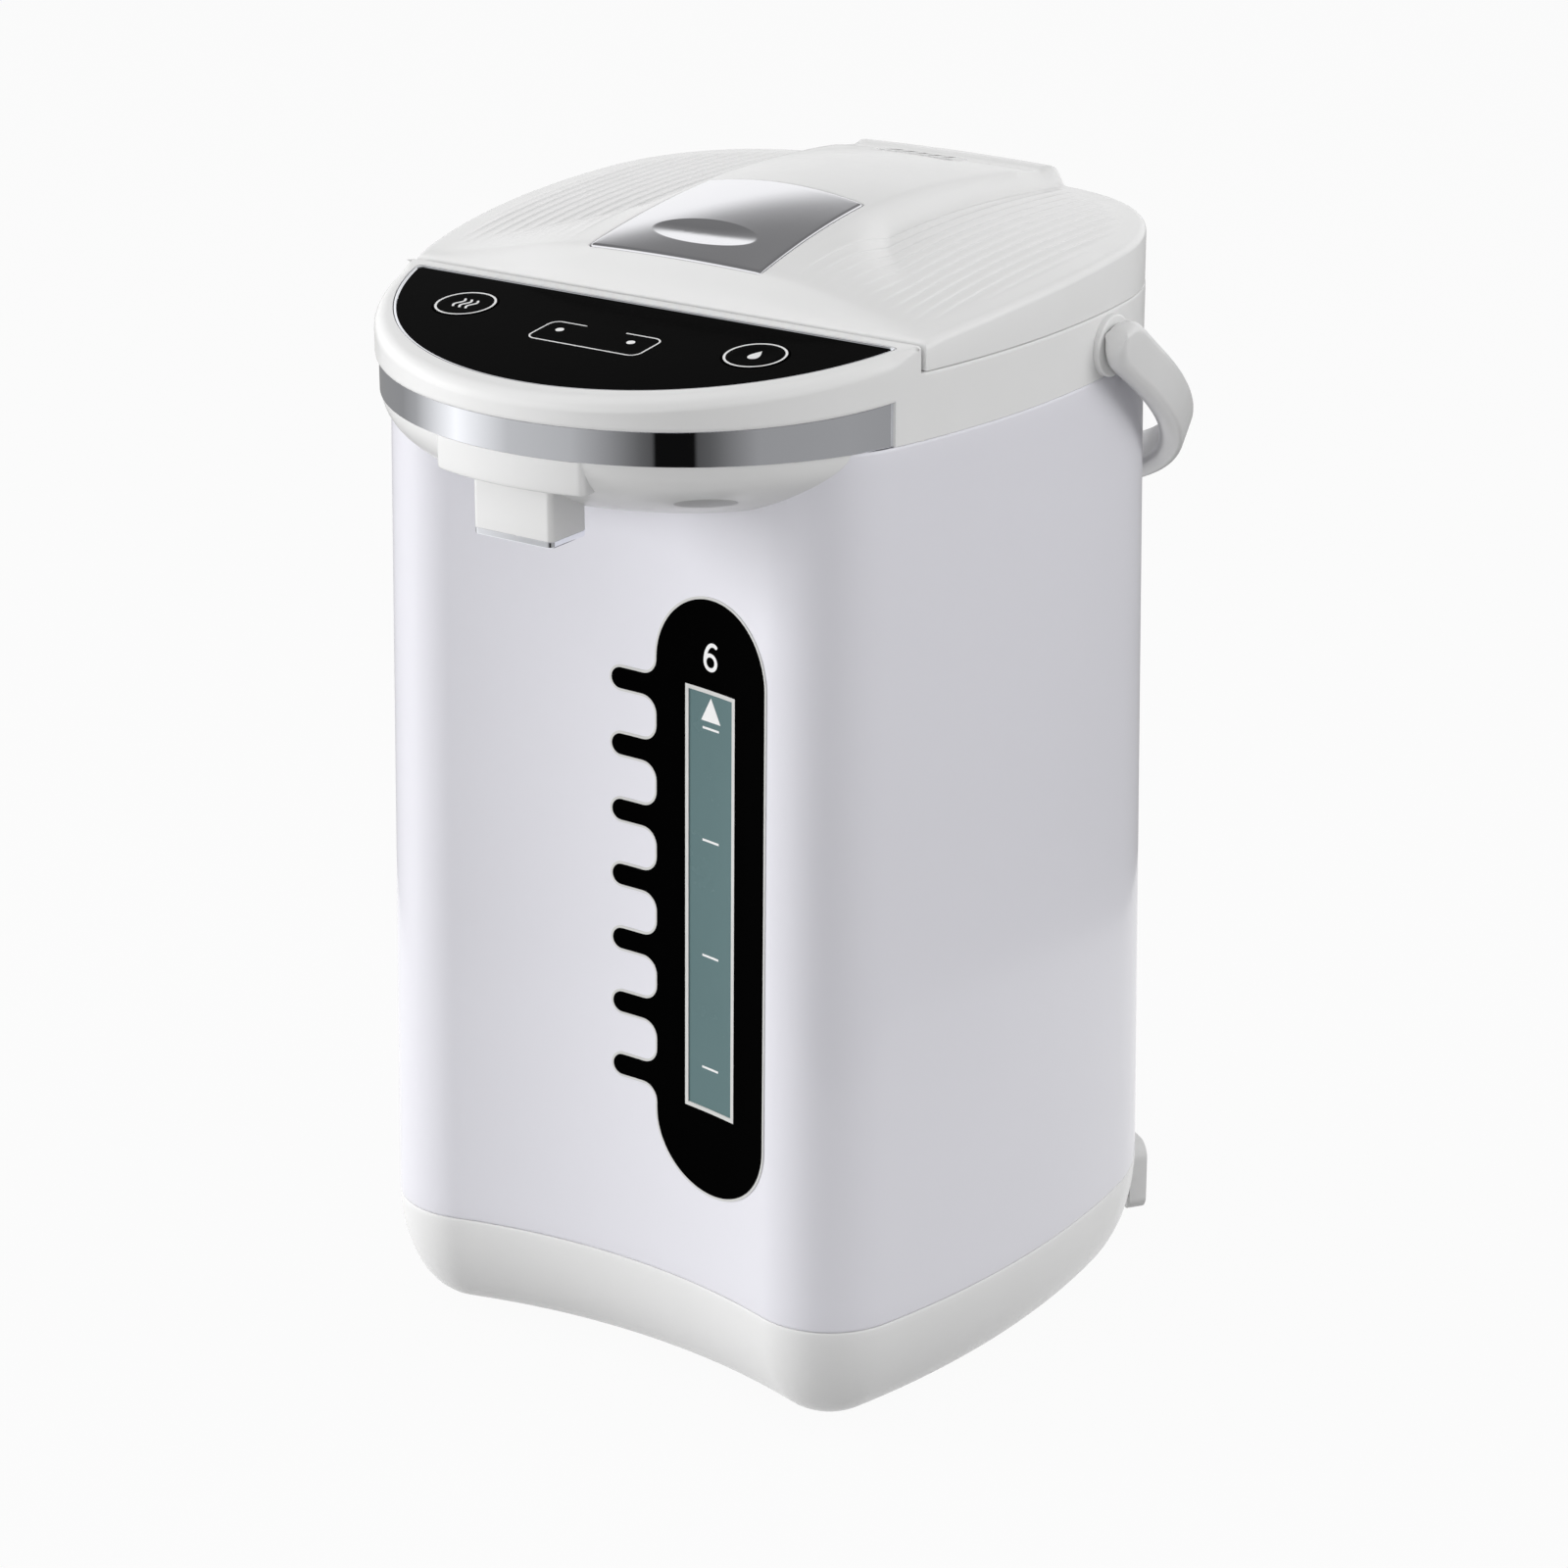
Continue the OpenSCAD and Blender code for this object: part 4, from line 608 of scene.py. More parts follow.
# Radius of the upper edge: small at the rear corners, larger round the front
crown = 1.4 + 3.0 * smooth((HOOD_REAR - 3 - hood[:, 1]) / 10)
in_band = hood[:, 1] < BAND_END - 0.01
groove = np.where(in_band, BAND_IN + BAND_T, 0.0)
lip = band_top(hood) + 0.35
switch = np.minimum(DECK, hood_top(hood[:, 1]) - crown - 0.05)
flush = np.zeros(len(hood))
profile = [(np.where(in_band, groove, 0.35), flush + COLLAR_SEAM), (groove, flush + COLLAR_SEAM + 0.35), (groove, lip)]
profile += [(np.where(in_band, w, 0.0), lip + dz)
            for w, dz in ((0.9, 0.0), (0.35, 0.12), (0.08, 0.5), (0.0, 1.0), (0.0, 1.6))]
profile.append((flush, switch))
rings = [np.column_stack([square + inward * w[:, None], z]) for w, z in profile]
rings.append(np.column_stack([hood, switch]))
for a in np.linspace(0, math.pi / 2, 9):
    p = hood + inward * (crown * (1 - math.cos(a)))[:, None]
    rings.append(np.column_stack([p, hood_top(p[:, 1]) - crown * (1 - math.sin(a))]))
pocket = panel_loop(1.3)
pocket_rim, pocket_floor = flat_on_panel(HOOD_LIFT)(pocket), flat_on_panel(POCKET_Z)(pocket)
well = flat_on_panel(POCKET_Z)(panel_loop(-5.0))


def flat_area(loops, lift):
    """Triangles over a flat area, whose plan points lift takes to space."""
    m = plate(loops, lift, lift)
    n = len(m.v) // 2
    return Mesh().add(m.v[:n], [f for f in m.f if max(f) < n and len(f) == 3])


hood_mesh = skin(rings).join(
    flat_area([rings[-1][:, :2], pocket_rim[:, :2]], lambda p: np.column_stack([p, hood_top(p[:, 1])])),
    flat_area([rings[0][:, :2], well[:, :2]], lambda p: at_z(p, COLLAR_SEAM)),
    skin([pocket_rim, pocket_floor]),
    skin([pocket_floor, well, at_z(well[:, :2], COLLAR_SEAM)]))

# Ring behind the hood: side walls, deck and mouth
RING_FRONT = HOOD_REAR + 0.004
MOUTH_R, MOUTH_WIDE_R, MOUTH_LIP = 78.0, 80.3, 3.0
a = math.degrees(math.asin(RING_FRONT / CS_R))
rear = closed(np.concatenate([arc((CS_X, 0), CS_R, a, R_TURN, 30), TOP_K * rear_half(0)]), RING_FRONT)
inward = normals(rear)
rings = [at_z(rear + inward * w, z) for z, w in ((COLLAR_SEAM, 0.35), (COLLAR_SEAM + 0.35, 0.0), (DECK - 1.5, 0.0),
                                                 (DECK - 0.8, 0.0), (DECK - 0.25, 0.2), (DECK, 0.8))]
mouth, wide = circle((0, POT_Y), MOUTH_R, 128), circle((0, POT_Y), MOUTH_WIDE_R, 128)
hood_mesh.join(
    skin(rings), flat_area([rings[-1][:, :2], mouth], lambda p: at_z(p, DECK)),
    flat_area([rings[0][:, :2], wide], lambda p: at_z(p, COLLAR_SEAM)),
    skin([at_z(mouth, DECK), at_z(mouth, DECK - MOUTH_LIP), at_z(wide, DECK - MOUTH_LIP), at_z(wide, COLLAR_SEAM)]))

# Bosses of the handle, lugs of the lid's hinge and the pocket that keeps the latch bolt
PIVOT_Y, PIVOT_Z, SIDE_X, BOSS_R = 26.8, 355.0, BODY_HALF * TOP_K, 10.35
HINGE_Y, LUG_X, KNUCKLE_R, KNUCKLE_EDGE = COLLAR_REAR + 5.6, (18, 27), 5.0, 0.8
KEEPER_HALF, KEEPER_Y = 8.05, -75.8
for s in (-1, 1):
    boss = drum_x(*sorted((s * (SIDE_X - 4), s * (SIDE_X + 1.5))), PIVOT_Y, PIVOT_Z, BOSS_R, 0.7)
    x0, x1 = sorted(s * x for x in LUG_X)
    lug = drum_x(x0, x1, HINGE_Y, LID_Z, KNUCKLE_R, KNUCKLE_EDGE)
    web = rect(x0, COLLAR_REAR - 4, x1, HINGE_Y)
    hood_mesh.join(boss, lug, skin([at_z(web, LID_Z - KNUCKLE_R), at_z(web, LID_Z - 0.3)], ends=True))
collar = piece("collar_and_hood", hood_mesh, WHITE, ["collar"])
cut(collar, (-KEEPER_HALF, KEEPER_Y, LID_Z + 2), (KEEPER_HALF, HOOD_REAR + 2, LID_Z + 7.35))

# Bright band round the hood
front_pts = arc((0, -BEAK_C), BEAK_R, BAND_A - 0.05, -180 - BAND_A + 0.05, 144)
to_c = np.array([0, -BEAK_C]) - front_pts
to_c /= np.hypot(*to_c.T)[:, None]
tops = band_top(front_pts)
rows_out = [np.column_stack([front_pts + to_c * BAND_IN, COLLAR_SEAM + (tops - COLLAR_SEAM) * t])
            for t in np.linspace(0, 1, 8)]
rows_in = [np.column_stack([front_pts + to_c * (BAND_IN + BAND_T), r[:, 2]]) for r in rows_out]
piece("bright_band", shell(rows_out, rows_in, wrap=False), CHROME, ["chrome_band"])

# Gloss panel, its bright edge, buttons and marks
BUTTON_X, BUTTON_Y, BUTTON_R = 57.2, -22.2, 10.7
LENSES, LENS_R = ((-14, -28.7), (14, -28.7)), 1.45
STEM_R, RING_R, RING_TOP, MARK_TOP, MARK_FOOT = 2.2, (10.15, 9.4), 0.27, 0.24, 0.1
holes = [circle((s * BUTTON_X, BUTTON_Y), BUTTON_R + 0.35, 64) for s in (-1, 1)]
holes += [circle(c, LENS_R, 24) for c in LENSES]
piece("panel_plate", panel_sheet([panel_loop(0)] + holes, 0.0, -PANEL_T), BLACK, ["control_panel"])

RIM_EDGE, RIM_H = 0.45, 0.32


def crowned(loops, height):
    """Plan points on a narrow rim to space: it is rounded toward its edges."""
    def top(p):
        d = np.min([reach(p, l) for l in loops], axis=0)
        bulge = np.sqrt(1 - (1 - np.clip(d / RIM_EDGE, 0, 1)) ** 2)
        return on_panel(p[:, 0], p[:, 1], height * bulge)
    return top


rim = [spaced(panel_loop(1.1), 1.5), spaced(panel_loop(0.06), 1.5)]
mids = [panel_loop(w, 140) for w in (0.25, 0.45, 0.6, 0.8, 0.95)]
piece("panel_rim", plate(rim, crowned(rim, RIM_H), flat_on_panel(-PANEL_T), rings=[spaced(m, 1.5) for m in mids]),
      CHROME, ["panel_bezel"])


def disc(c, r, z):
    """A ring of points on the panel, at height z over it."""
    return flat_on_panel(z)(circle(c, r, 72))


for name, s, node in (("reboil", -1, "reboil_button"), ("dispense", 1, "dispense_button")):
    c = np.array([s * BUTTON_X, BUTTON_Y])
    prof = [(0.02, -2.0), (BUTTON_R, -2.0), (BUTTON_R, -0.15), (BUTTON_R - 0.12, 0.12), (BUTTON_R - 0.45, 0.22),
            (BUTTON_R - 3, 0.24), (4.0, 0.16), (0.02, 0.13)]
    cap = skin([disc(c, r, z) for r, z in prof], ends=True)
    cap.join(skin([disc(c, STEM_R, z) for z in (-3.1, -1.9)], ends=True))
    piece(name + "_cap", cap, BLACK, [node], body=node, sharp=40)
    ring = panel_sheet([circle(c, r, 96) for r in RING_R], RING_TOP, MARK_FOOT)
    piece(name + "_ring", ring, PRINT, body=node)
    marks = Mesh()
    if s < 0:
        t = np.linspace(-1, 1, 25)
        for dx in (-2.6, 0, 2.6):
            wave = np.stack([c[0] + dx + 0.75 * np.sin(t * math.pi), c[1] + 3.3 * t], 1)
            marks.join(panel_sheet(stroke(wave, 0.8), MARK_TOP, MARK_FOOT))
    else:
        t = np.linspace(0, 2 * math.pi, 60, endpoint=False)
        drop = np.stack([c[0] + 2.6 * np.sin(t) * np.sin(t / 2) ** 1.4, c[1] + 3.4 * np.cos(t) + 0.3], 1)
        marks.join(panel_sheet([drop], MARK_TOP, MARK_FOOT))
    piece(name + "_mark", marks, PRINT, body=node)

# Open-sided frame round the two lamps
x0, y0, x1, y1, r, gap = -20.6, -38.2, 22.6, -22.6, 3.4, 8.0
line = np.concatenate([
    [(-gap, y1)], arc((x0 + r, y1 - r), r, 90, 180, 8), arc((x0 + r, y0 + r), r, 180, 270, 8),
    arc((x1 - r, y0 + r), r, 270, 360, 8), arc((x1 - r, y1 - r), r, 0, 90, 8), [(gap, y1)]])
piece("lamp_frame", panel_sheet(stroke(line, 0.55), 0.06, -0.1), PRINT)


# ---- spout

SPOUT_W, SPOUT_D, SPOUT_R, SPOUT_Z, TRIM_H = 31.0, 18.5, 2.0, 314.0, 2.2
NOZZLE_Y = -BEAK_C - BEAK_R + 6.5 + SPOUT_D / 2
NOZZLE_TOP = SPOUT_Z + 19.2
BOWL_R, BOWL_H, BOWL_T = BEAK_R - BAND_IN - BAND_T / 2, 33.4, 2.5
BLOCK_HALF, BLOCK_REAR, BLOCK_R = 29.0, NOZZLE_Y + 14.8, 2.5


def bowl_point(w, u, e):
    """A point of the half ellipsoid under the hood, drawn in by w: u turns round it, e goes down it."""
    r, h = BOWL_R - w, BOWL_H - w
    return np.column_stack([r * math.cos(e) * np.cos(u), -BEAK_C + r * math.cos(e) * np.sin(u),
                            np.full(len(u), COLLAR_SEAM - h * math.sin(e))])


def under_bowl(w):
    """Plan points to the bowl's surface, drawn in by w."""
    def fn(p):
        q = np.hypot(p[:, 0], p[:, 1] + BEAK_C) / (BOWL_R - w)
        return np.column_stack([p, COLLAR_SEAM - (BOWL_H - w) * np.sqrt(1 - q * q)])
    return fn


# Bowl under the hood, which ends inside the front sheet of the body
us = np.radians(np.linspace(-180, 0, 241))
es = np.linspace(0, math.pi / 2 * 0.999, 64)
bowl_out = np.array([bowl_point(0, us, e) for e in es])
bowl_in = np.array([bowl_point(BOWL_T, us, e) for e in es])
deep = np.array([inside(row[:, :2], both(body_half(0.7, body_k(row[0, 2])))) for row in bowl_out])
hidden = deep[:-1, :-1] & deep[1:, :-1] & deep[:-1, 1:] & deep[1:, 1:]
piece("spout_bowl", shell(bowl_out, bowl_in, hidden, wrap=False), WHITE, ["beak_underside"])

# A shallow oval plug in the right side of the bowl
PLUG_TURN, PLUG_R, PLUG_HALF = math.radians(-51.5), 90.3, (10.0, 3.4)
t = np.linspace(0, 2 * math.pi, 72, endpoint=False)
u, r = PLUG_TURN + PLUG_HALF[0] / PLUG_R * np.cos(t), PLUG_R + PLUG_HALF[1] * np.sin(t)
oval = np.stack([r * np.cos(u), r * np.sin(u) - BEAK_C], 1)
plug = plate([oval], under_bowl(0.8), under_bowl(-0.12), np.arange(46, 66, 1.5), np.arange(-135, -113, 1.5))
piece("bowl_plug", plug, PLUG_GREY)


def block_rings(plan, z0, z1, low, high):
    """Rings of an upright block from below upward, with softened rims. plan gives its outline drawn in by so much."""
    quarter = np.linspace(0, math.pi / 2, 5)
    steps = [(z0 + low * (1 - math.cos(a)), low * (1 - math.sin(a))) for a in quarter]
    steps += [(z, 0.0) for z in np.linspace(z0 + low, z1 - high, 5)[1:-1]]
    steps += [(z1 - high * (1 - math.sin(a)), high * (1 - math.cos(a))) for a in quarter]
    return [at_z(plan(t), z) for z, t in steps]


def spout_plan(t):
    w, d = SPOUT_W / 2 - t, SPOUT_D / 2 - t
    return rect(-w, NOZZLE_Y - d, w, NOZZLE_Y + d, max(0.2, SPOUT_R - t))


def block_plan(t):
    """The block's outline: a front that follows the band's curve, straight sides and a straight rear."""
    w, r = BLOCK_HALF - t, BOWL_R + 0.3 - t
    a = math.degrees(math.acos(w / r))
    front, rear = arc((0, -BEAK_C), r, -180 + a, -a, 24), [(w, BLOCK_REAR - t), (-w, BLOCK_REAR - t)]
    return rounded(np.concatenate([front, rear]), max(0.2, BLOCK_R - t))


def bored(rings, c, r):
    """A block with a round bore from top to bottom."""
    start = rings[0][:, :2] - c
    a = np.arctan2(start[:, 1], start[:, 0])
    hole = np.stack([c[0] + r * np.cos(a), c[1] + r * np.sin(a)], 1)
    low, high = rings[0][0, 2], rings[-1][0, 2]
    return skin([at_z(hole, high), at_z(hole, low)] + rings + [at_z(hole, high)])


SPOUT_C, SPOUT_BORE, TRIM_BORE = np.array([0.0, NOZZLE_Y]), 5.7, 4.2
piece("spout_block", skin(block_rings(block_plan, NOZZLE_TOP, COLLAR_SEAM - 0.2, 1.2, 0.1), ends=True), WHITE)
piece("spout_body", bored(block_rings(spout_plan, SPOUT_Z + TRIM_H, NOZZLE_TOP, 0.15, 0.1), SPOUT_C, SPOUT_BORE),
      WHITE, ["nozzle"])
piece("spout_trim", bored(block_rings(spout_plan, SPOUT_Z, SPOUT_Z + TRIM_H, 0.5, 0.15), SPOUT_C, TRIM_BORE),
      CHROME, ["nozzle_trim"])


# ---- level gauge


def on_front(lift):
    """(x, z) on the front face to space, lifted off it by so much."""
    def fn(p):
        x, z = p.T
        k = body_k(z)
        corner = FC[1] - np.sqrt(np.maximum(0, (FC_R + lift) ** 2 - (x / k - FC[0]) ** 2))
        return np.column_stack([x, np.where(x / k > HOLLOW_END, k * corner, front_y(x, k, -lift)), z])
    return fn


def front_sheet(loops, top, foot, *grid):
    """A thin plate on the front face, between two heights over it."""
    return plate(loops, on_front(top), on_front(foot), *grid)


FILM = (16.45, 80.9, 65.45, 288.7)
FINGER_X, FINGER_R, FINGER_Z, FINGER_STEP, FINGERS = 1.45, 3.6, 117.1, 22.85, 7


def film_loop(grow):
    """The film's outline: a round-ended strip with seven fingers on its left, whose roots are filleted."""
    x0, z0, x1, z1 = FILM
    r = (x1 - x0) / 2
    cx = (x0 + x1) / 2
    loop = [arc((cx, z0 + r), r + grow, 180, 360, 40), arc((cx, z1 - r), r + grow, 0, 180, 40)]
    fr, fil = FINGER_R + grow, 6.0 - grow
    for i in reversed(range(FINGERS)):
        z = FINGER_Z + i * FINGER_STEP
        loop += [arc((x0 - grow - fil, z + fr + fil), fil, 0, -90, 8), arc((FINGER_X, z), fr, 90, 270, 12),
                 arc((x0 - grow - fil, z - fr - fil), fil, 90, 0, 8)]
    return np.concatenate(loop)


def window_loop(w):
    """The window's outline, drawn in by w."""
    x0, z0, x1, z1 = WINDOW
    return spaced(rect(x0 + w, z0 + w, x1 - w, z1 - w), 3)


FRAME_W, TICK_HALF, TICK_T, TICK_Z = 1.4, 3.7, 0.75, (245.2, 206.6, 166.2, 126.3)
WINDOW_X, ARROW_HALF, ARROW_Z = (WINDOW[0] + WINDOW[2]) / 2, 4.4, (247.6, 255.8)
xs, zs = np.arange(-3, 68, 2.0), np.arange(80, 290, 3.0)
piece("gauge_print", front_sheet([spaced(film_loop(0), 3), window_loop(0)], 0.4, 0.02, xs, zs), BLACK, ["gauge_film"])
piece("gauge_pane", front_sheet([window_loop(0.1)], 0.05, -1.4, np.arange(29, 52, 2.0), zs), GLASS, ["gauge_window"])
piece("gauge_frame", front_sheet([window_loop(0), window_loop(FRAME_W)], 0.42, 0.03), FRAME_PALE)
ticks = Mesh()
for z in TICK_Z:
    bar = rect(WINDOW_X - TICK_HALF, z - TICK_T / 2, WINDOW_X + TICK_HALF, z + TICK_T / 2)
    ticks.join(front_sheet([spaced(bar, 1.5)], 0.12, 0.03))
arrow = np.array([(WINDOW_X - ARROW_HALF, ARROW_Z[0]), (WINDOW_X + ARROW_HALF, ARROW_Z[0]), (WINDOW_X, ARROW_Z[1])])
ticks.join(front_sheet([spaced(arrow, 1.5)], 0.12, 0.03, np.arange(33, 46, 1.5), np.arange(248, 256, 1.5)))
piece("gauge_ticks", ticks, PRINT)

# A plain numeral over the window: a ring and a curved stem
SIX, SIX_R, SIX_PEN = np.array([WINDOW_X, 267.9]), 2.45, 1.3
six = Mesh()
t = np.radians(np.linspace(68, 180, 20))
stem = SIX + np.stack([SIX_R * (0.46 + 1.46 * np.cos(t)), SIX_R * 2.46 * np.sin(t)], 1)
eye = [circle(SIX, SIX_R + SIX_PEN / 2), circle(SIX, SIX_R - SIX_PEN / 2)]
for loops, lift in ((eye, 0.46), (stroke(stem, SIX_PEN), 0.48)):
    six.join(front_sheet(loops, lift, 0.3))
piece("gauge_numeral", six, PRINT)
# The pale line round the film
pale = [spaced(film_loop(0.9), 3), spaced(film_loop(0.02), 3)]
piece("gauge_edge", front_sheet(pale, 0.25, 0.02), FRAME_PALE)


# ---- lid

DOME_H, RIDGE_H, CROWN_H, EDGE_H, EDGE_RISE = 7.0, 6.2, 4.33, 8.6, 9.4
# Half sizes of the dome over the lid, of its middle ridge and of the crown on that ridge, whose middle is at CROWN_Y
DOME_R, RIDGE_HALF, CROWN_HALF, CROWN_Y = 112, 34, (40, 80), 13
LID_T, LID_WALL, LID_EDGE_R, HOLE_EDGE_R = 2.6, 2.9, 2.4, 0.5


def front_flare(y):
    """1 at the lid's front edge, where the ridge spreads over the wings, and 0 behind its middle."""
    return 1 - smooth((y + LID_FRONT) / 75)


def rear_flare(y):
    """0 up to the middle of the lid and 1 at its rear, where the ridge widens a little."""
    return np.clip((y - 20) / 85, 0, 1) ** 2


def off_ridge(x, y):
    """0 on the middle ridge, 1 on the wings."""
    return smooth((abs(x) - RIDGE_HALF - 5 * rear_flare(y)) / (9 + 55 * front_flare(y) - 3 * rear_flare(y)))


def lid_top(x, y):
    span = np.clip((y + LID_FRONT) / (COLLAR_REAR + LID_FRONT), 0, 1)
    lift = np.sin(np.radians(90) * np.clip((y + LID_FRONT) / 8, 0, 1))
    dome = DOME_H * (1 - (x / DOME_R) ** 2) * np.maximum(0, 1 - (y / DOME_R) ** 2)
    crown = np.maximum(0, 1 - (x / CROWN_HALF[0]) ** 2) * np.maximum(0, 1 - ((y - CROWN_Y) / CROWN_HALF[1]) ** 2)
    return (DECK + EDGE_H + EDGE_RISE * (1 - (1 - span) ** 3)
            + lift * (dome + RIDGE_H * (1 - off_ridge(x, y)) + CROWN_H * crown))


def rear_lip(x, y):
    """The ridge dips a little before its rear edge, which stands up as a low lip."""
    return -1.2 * smooth((y - 80) / 17) * (1 - smooth((y - 99.5) / 2)) * (1 - off_ridge(x, y))


def lid_loop(w):
    """The lid's outline, drawn in by w."""
    a0 = math.degrees(math.asin((w - LID_FRONT) / (CS_R - w)))
    h = np.concatenate([arc((CS_X, 0), CS_R - w, a0, R_TURN, 70),
                        TOP_K * arc(RC, RC_R - w / TOP_K, R_TURN, REAR_A, 44)[1:],
                        TOP_K * arc((0, REAR_CY), REAR_R - w / TOP_K, REAR_A, 90, 16)[1:]])
    return spaced(np.concatenate([h, h[-2::-1] * (-1, 1)]), 2.0)


# Front and rear of the latch plate, and its half widths there
LATCH = (-64.0, -1.0, 34.0, 31.0)


def latch_loop(g, r):
    """The latch plate's outline, grown by g, with corners of radius r."""
    y0, y1, h0, h1 = LATCH
    corners = np.array([(-h0 - g, y0 - g), (h0 + g, y0 - g), (h1 + g, y1 + g), (-h1 - g, y1 + g)])
    return spaced(rounded(corners, r, 4), 1.6)


VENT_Y, VENT_HALF, VENT_R = 82.0, (16.1, 6.6), 3.1
LID_GAP, LATCH_GAP, LATCH_R = 0.2, 0.35, 1.2
vent = spaced(rect(-VENT_HALF[0], VENT_Y - VENT_HALF[1], VENT_HALF[0], VENT_Y + VENT_HALF[1], VENT_R), 1.6)
lid_edge = lid_loop(LID_GAP)
latch_hole = latch_loop(LATCH_GAP, LATCH_R)
RIB_STEP, RIB_FIRST, RIB_N, RIB_H, RIB_W = 5.0, 45.0, 12, 0.4, 0.95


def ribs(x, y):
    """Thin raised lines along both wings, fading out toward the front and the ridge."""
    s = abs(x)
    near = (s - RIB_FIRST) / RIB_STEP
    line = np.exp(-((near - np.round(near)) * RIB_STEP / RIB_W) ** 2)
    on = (np.round(near) >= 0) & (np.round(near) < RIB_N)
    fade = smooth((y + 68) / 40) * smooth((s - 43 - 5 * rear_flare(y)) / 2)
    return RIB_H * line * on * fade


def lid_upper(p):
    x, y = p[:, 0], p[:, 1]
    d = reach(p, lid_edge)
    drop = edge_drop(d, LID_EDGE_R) + edge_drop(np.minimum(reach(p, latch_hole), reach(p, vent)), HOLE_EDGE_R)
    return np.column_stack([p, lid_top(x, y) + rear_lip(x, y) + ribs(x, y) * smooth((d - 7) / 6) - drop])


def lid_under(p):
    d = reach(p, lid_edge)
    return np.column_stack([p, np.where(d < LID_WALL, LID_Z, lid_top(p[:, 0], p[:, 1]) - LID_T)])


# Mesh columns beside the middle of each rib
RIB_COLUMNS = (-1.9, -1.4, -0.9, -0.45, 0, 0.45, 0.9, 1.4, 1.9)
wing = np.array([RIB_FIRST + RIB_STEP * i + d for i in range(RIB_N) for d in RIB_COLUMNS] + [105.0, 107.5])
xs = np.r_[-wing[::-1], np.arange(-42, 42.1, 2.0), wing]
near_edge = [lid_loop(LID_GAP + d) for d in (0.25, 0.6, 1.1, 1.7, 2.4, 3.2)]
near_latch = [latch_loop(LATCH_GAP + d, LATCH_R + d) for d in (0.2, 0.5, 1.0)]
lid = plate([lid_edge, latch_hole, vent], lid_upper, lid_under, xs, np.arange(-70, 111, 2.4),
            near_edge + near_latch, 0.4)
KNUCKLE_HALF = LUG_X[0] - 0.35
web = rect(-KNUCKLE_HALF, COLLAR_REAR - 2.5, KNUCKLE_HALF, HINGE_Y)
lid.join(drum_x(-KNUCKLE_HALF, KNUCKLE_HALF, HINGE_Y, LID_Z, KNUCKLE_R, KNUCKLE_EDGE),
         skin([at_z(web, LID_Z), at_z(web, LID_Z + KNUCKLE_R)], ends=True))
lid_obj = piece("lid_shell", lid, WHITE, ["lid_cover"], body="lid")
# The bolt passes through the front wall
cut(lid_obj, (-KEEPER_HALF, -LID_FRONT - 2, LID_Z + 1.9), (KEEPER_HALF, -LID_FRONT + 4, LID_Z + 7.3))

# Latch plate with a thumb dimple, deepest toward its rear
LATCH_LIFT, LATCH_T, LATCH_EDGE_R = 0.35, 2.15, 0.9
DIMPLE_Y, DIMPLE_X_R, DIMPLE_Y_R, DIMPLE_DEPTH, DIMPLE_SKEW = LATCH[0] + 17, 20.0, 8.0, 1.5, 0.55


def dimple_q(x, y):
    """0 in the middle of the thumb dimple, 1 on its rim."""
    return (x / DIMPLE_X_R) ** 2 + ((y - DIMPLE_Y) / DIMPLE_Y_R) ** 2


def dimple(x, y):
    return DIMPLE_DEPTH * np.maximum(0, 1 - dimple_q(x, y)) * (1 + DIMPLE_SKEW * (y - DIMPLE_Y) / DIMPLE_Y_R)


latch_edge = latch_loop(0, 1.0)
LATCH_PIVOT_Z = float(lid_top(38.5, LATCH[1])) - 5


def latch_face(p):
    return lid_top(p[:, 0], p[:, 1]) + LATCH_LIFT - dimple(p[:, 0], p[:, 1])


def latch_upper(p):
    return np.column_stack([p, latch_face(p) - edge_drop(reach(p, latch_edge), LATCH_EDGE_R)])


def latch_under(p):
    return np.column_stack([p, latch_face(p) - LATCH_T])


latch_rings = [latch_loop(-d, 1.0) for d in (0.15, 0.4, 0.75, 1.2)]
latch_rings += [circle((0, 0), 1, 96) * (DIMPLE_X_R * q, DIMPLE_Y_R * q) + (0, DIMPLE_Y)
                for q in (1.1, 1.03, 1.0, 0.97, 0.92, 0.86, 0.78, 0.68, 0.56, 0.42, 0.28, 0.14)]
latch = plate([latch_edge], latch_upper, latch_under, np.arange(-34, 34.1, 1.7), np.arange(-64, 0, 1.7),
              latch_rings, 1.2)


def under_latch(x, y, half_x, half_y, r, z):
    """An upright lug from height z up into the latch plate."""
    lug = rect(x - half_x, y - half_y, x + half_x, y + half_y, r)
    return skin([at_z(lug, z), at_z(lug, float(lid_top(abs(x), y)) - 1)], ends=True)


# Two ears on the pivot, and the tab that draws the bolt
latch.join(*(under_latch(x, -5.0, 2, 3, 0.8, LATCH_PIVOT_Z - 3) for x in (-20.0, 20.0)),
           under_latch(0.0, -55.5, 4.5, 1.5, 0.6, LID_Z + 9))
piece("latch_plate", latch, SILVER, ["latch_lever"], body="latch_lever", sharp=50)

# Dark sheet just under the vent's opening: painted shade, standing in for the dark of its slots
vent_z = lid_top(0.0, np.array([VENT_Y - 6.5, VENT_Y, VENT_Y + 6.5]))
VENT_SLOPE = (vent_z[2] - vent_z[0]) / 13


def under_vent(depth):
    """Plan points to a flat face under the vent, along the lid's slope there."""
    return lambda p: np.column_stack([p, vent_z[1] + VENT_SLOPE * (p[:, 1] - VENT_Y) - depth])


vent_shade_sheet = plate([spaced(rect(-14.5, VENT_Y - 5, 14.5, VENT_Y + 5, 1.5), 1.5)], under_vent(0.3), under_vent(1.2),
               np.arange(-14, 15, 2.0), np.arange(VENT_Y - 4, VENT_Y + 5, 2.0))
piece("vent_painted_shade", vent_shade_sheet, DARK, body="lid")


# ---- handle

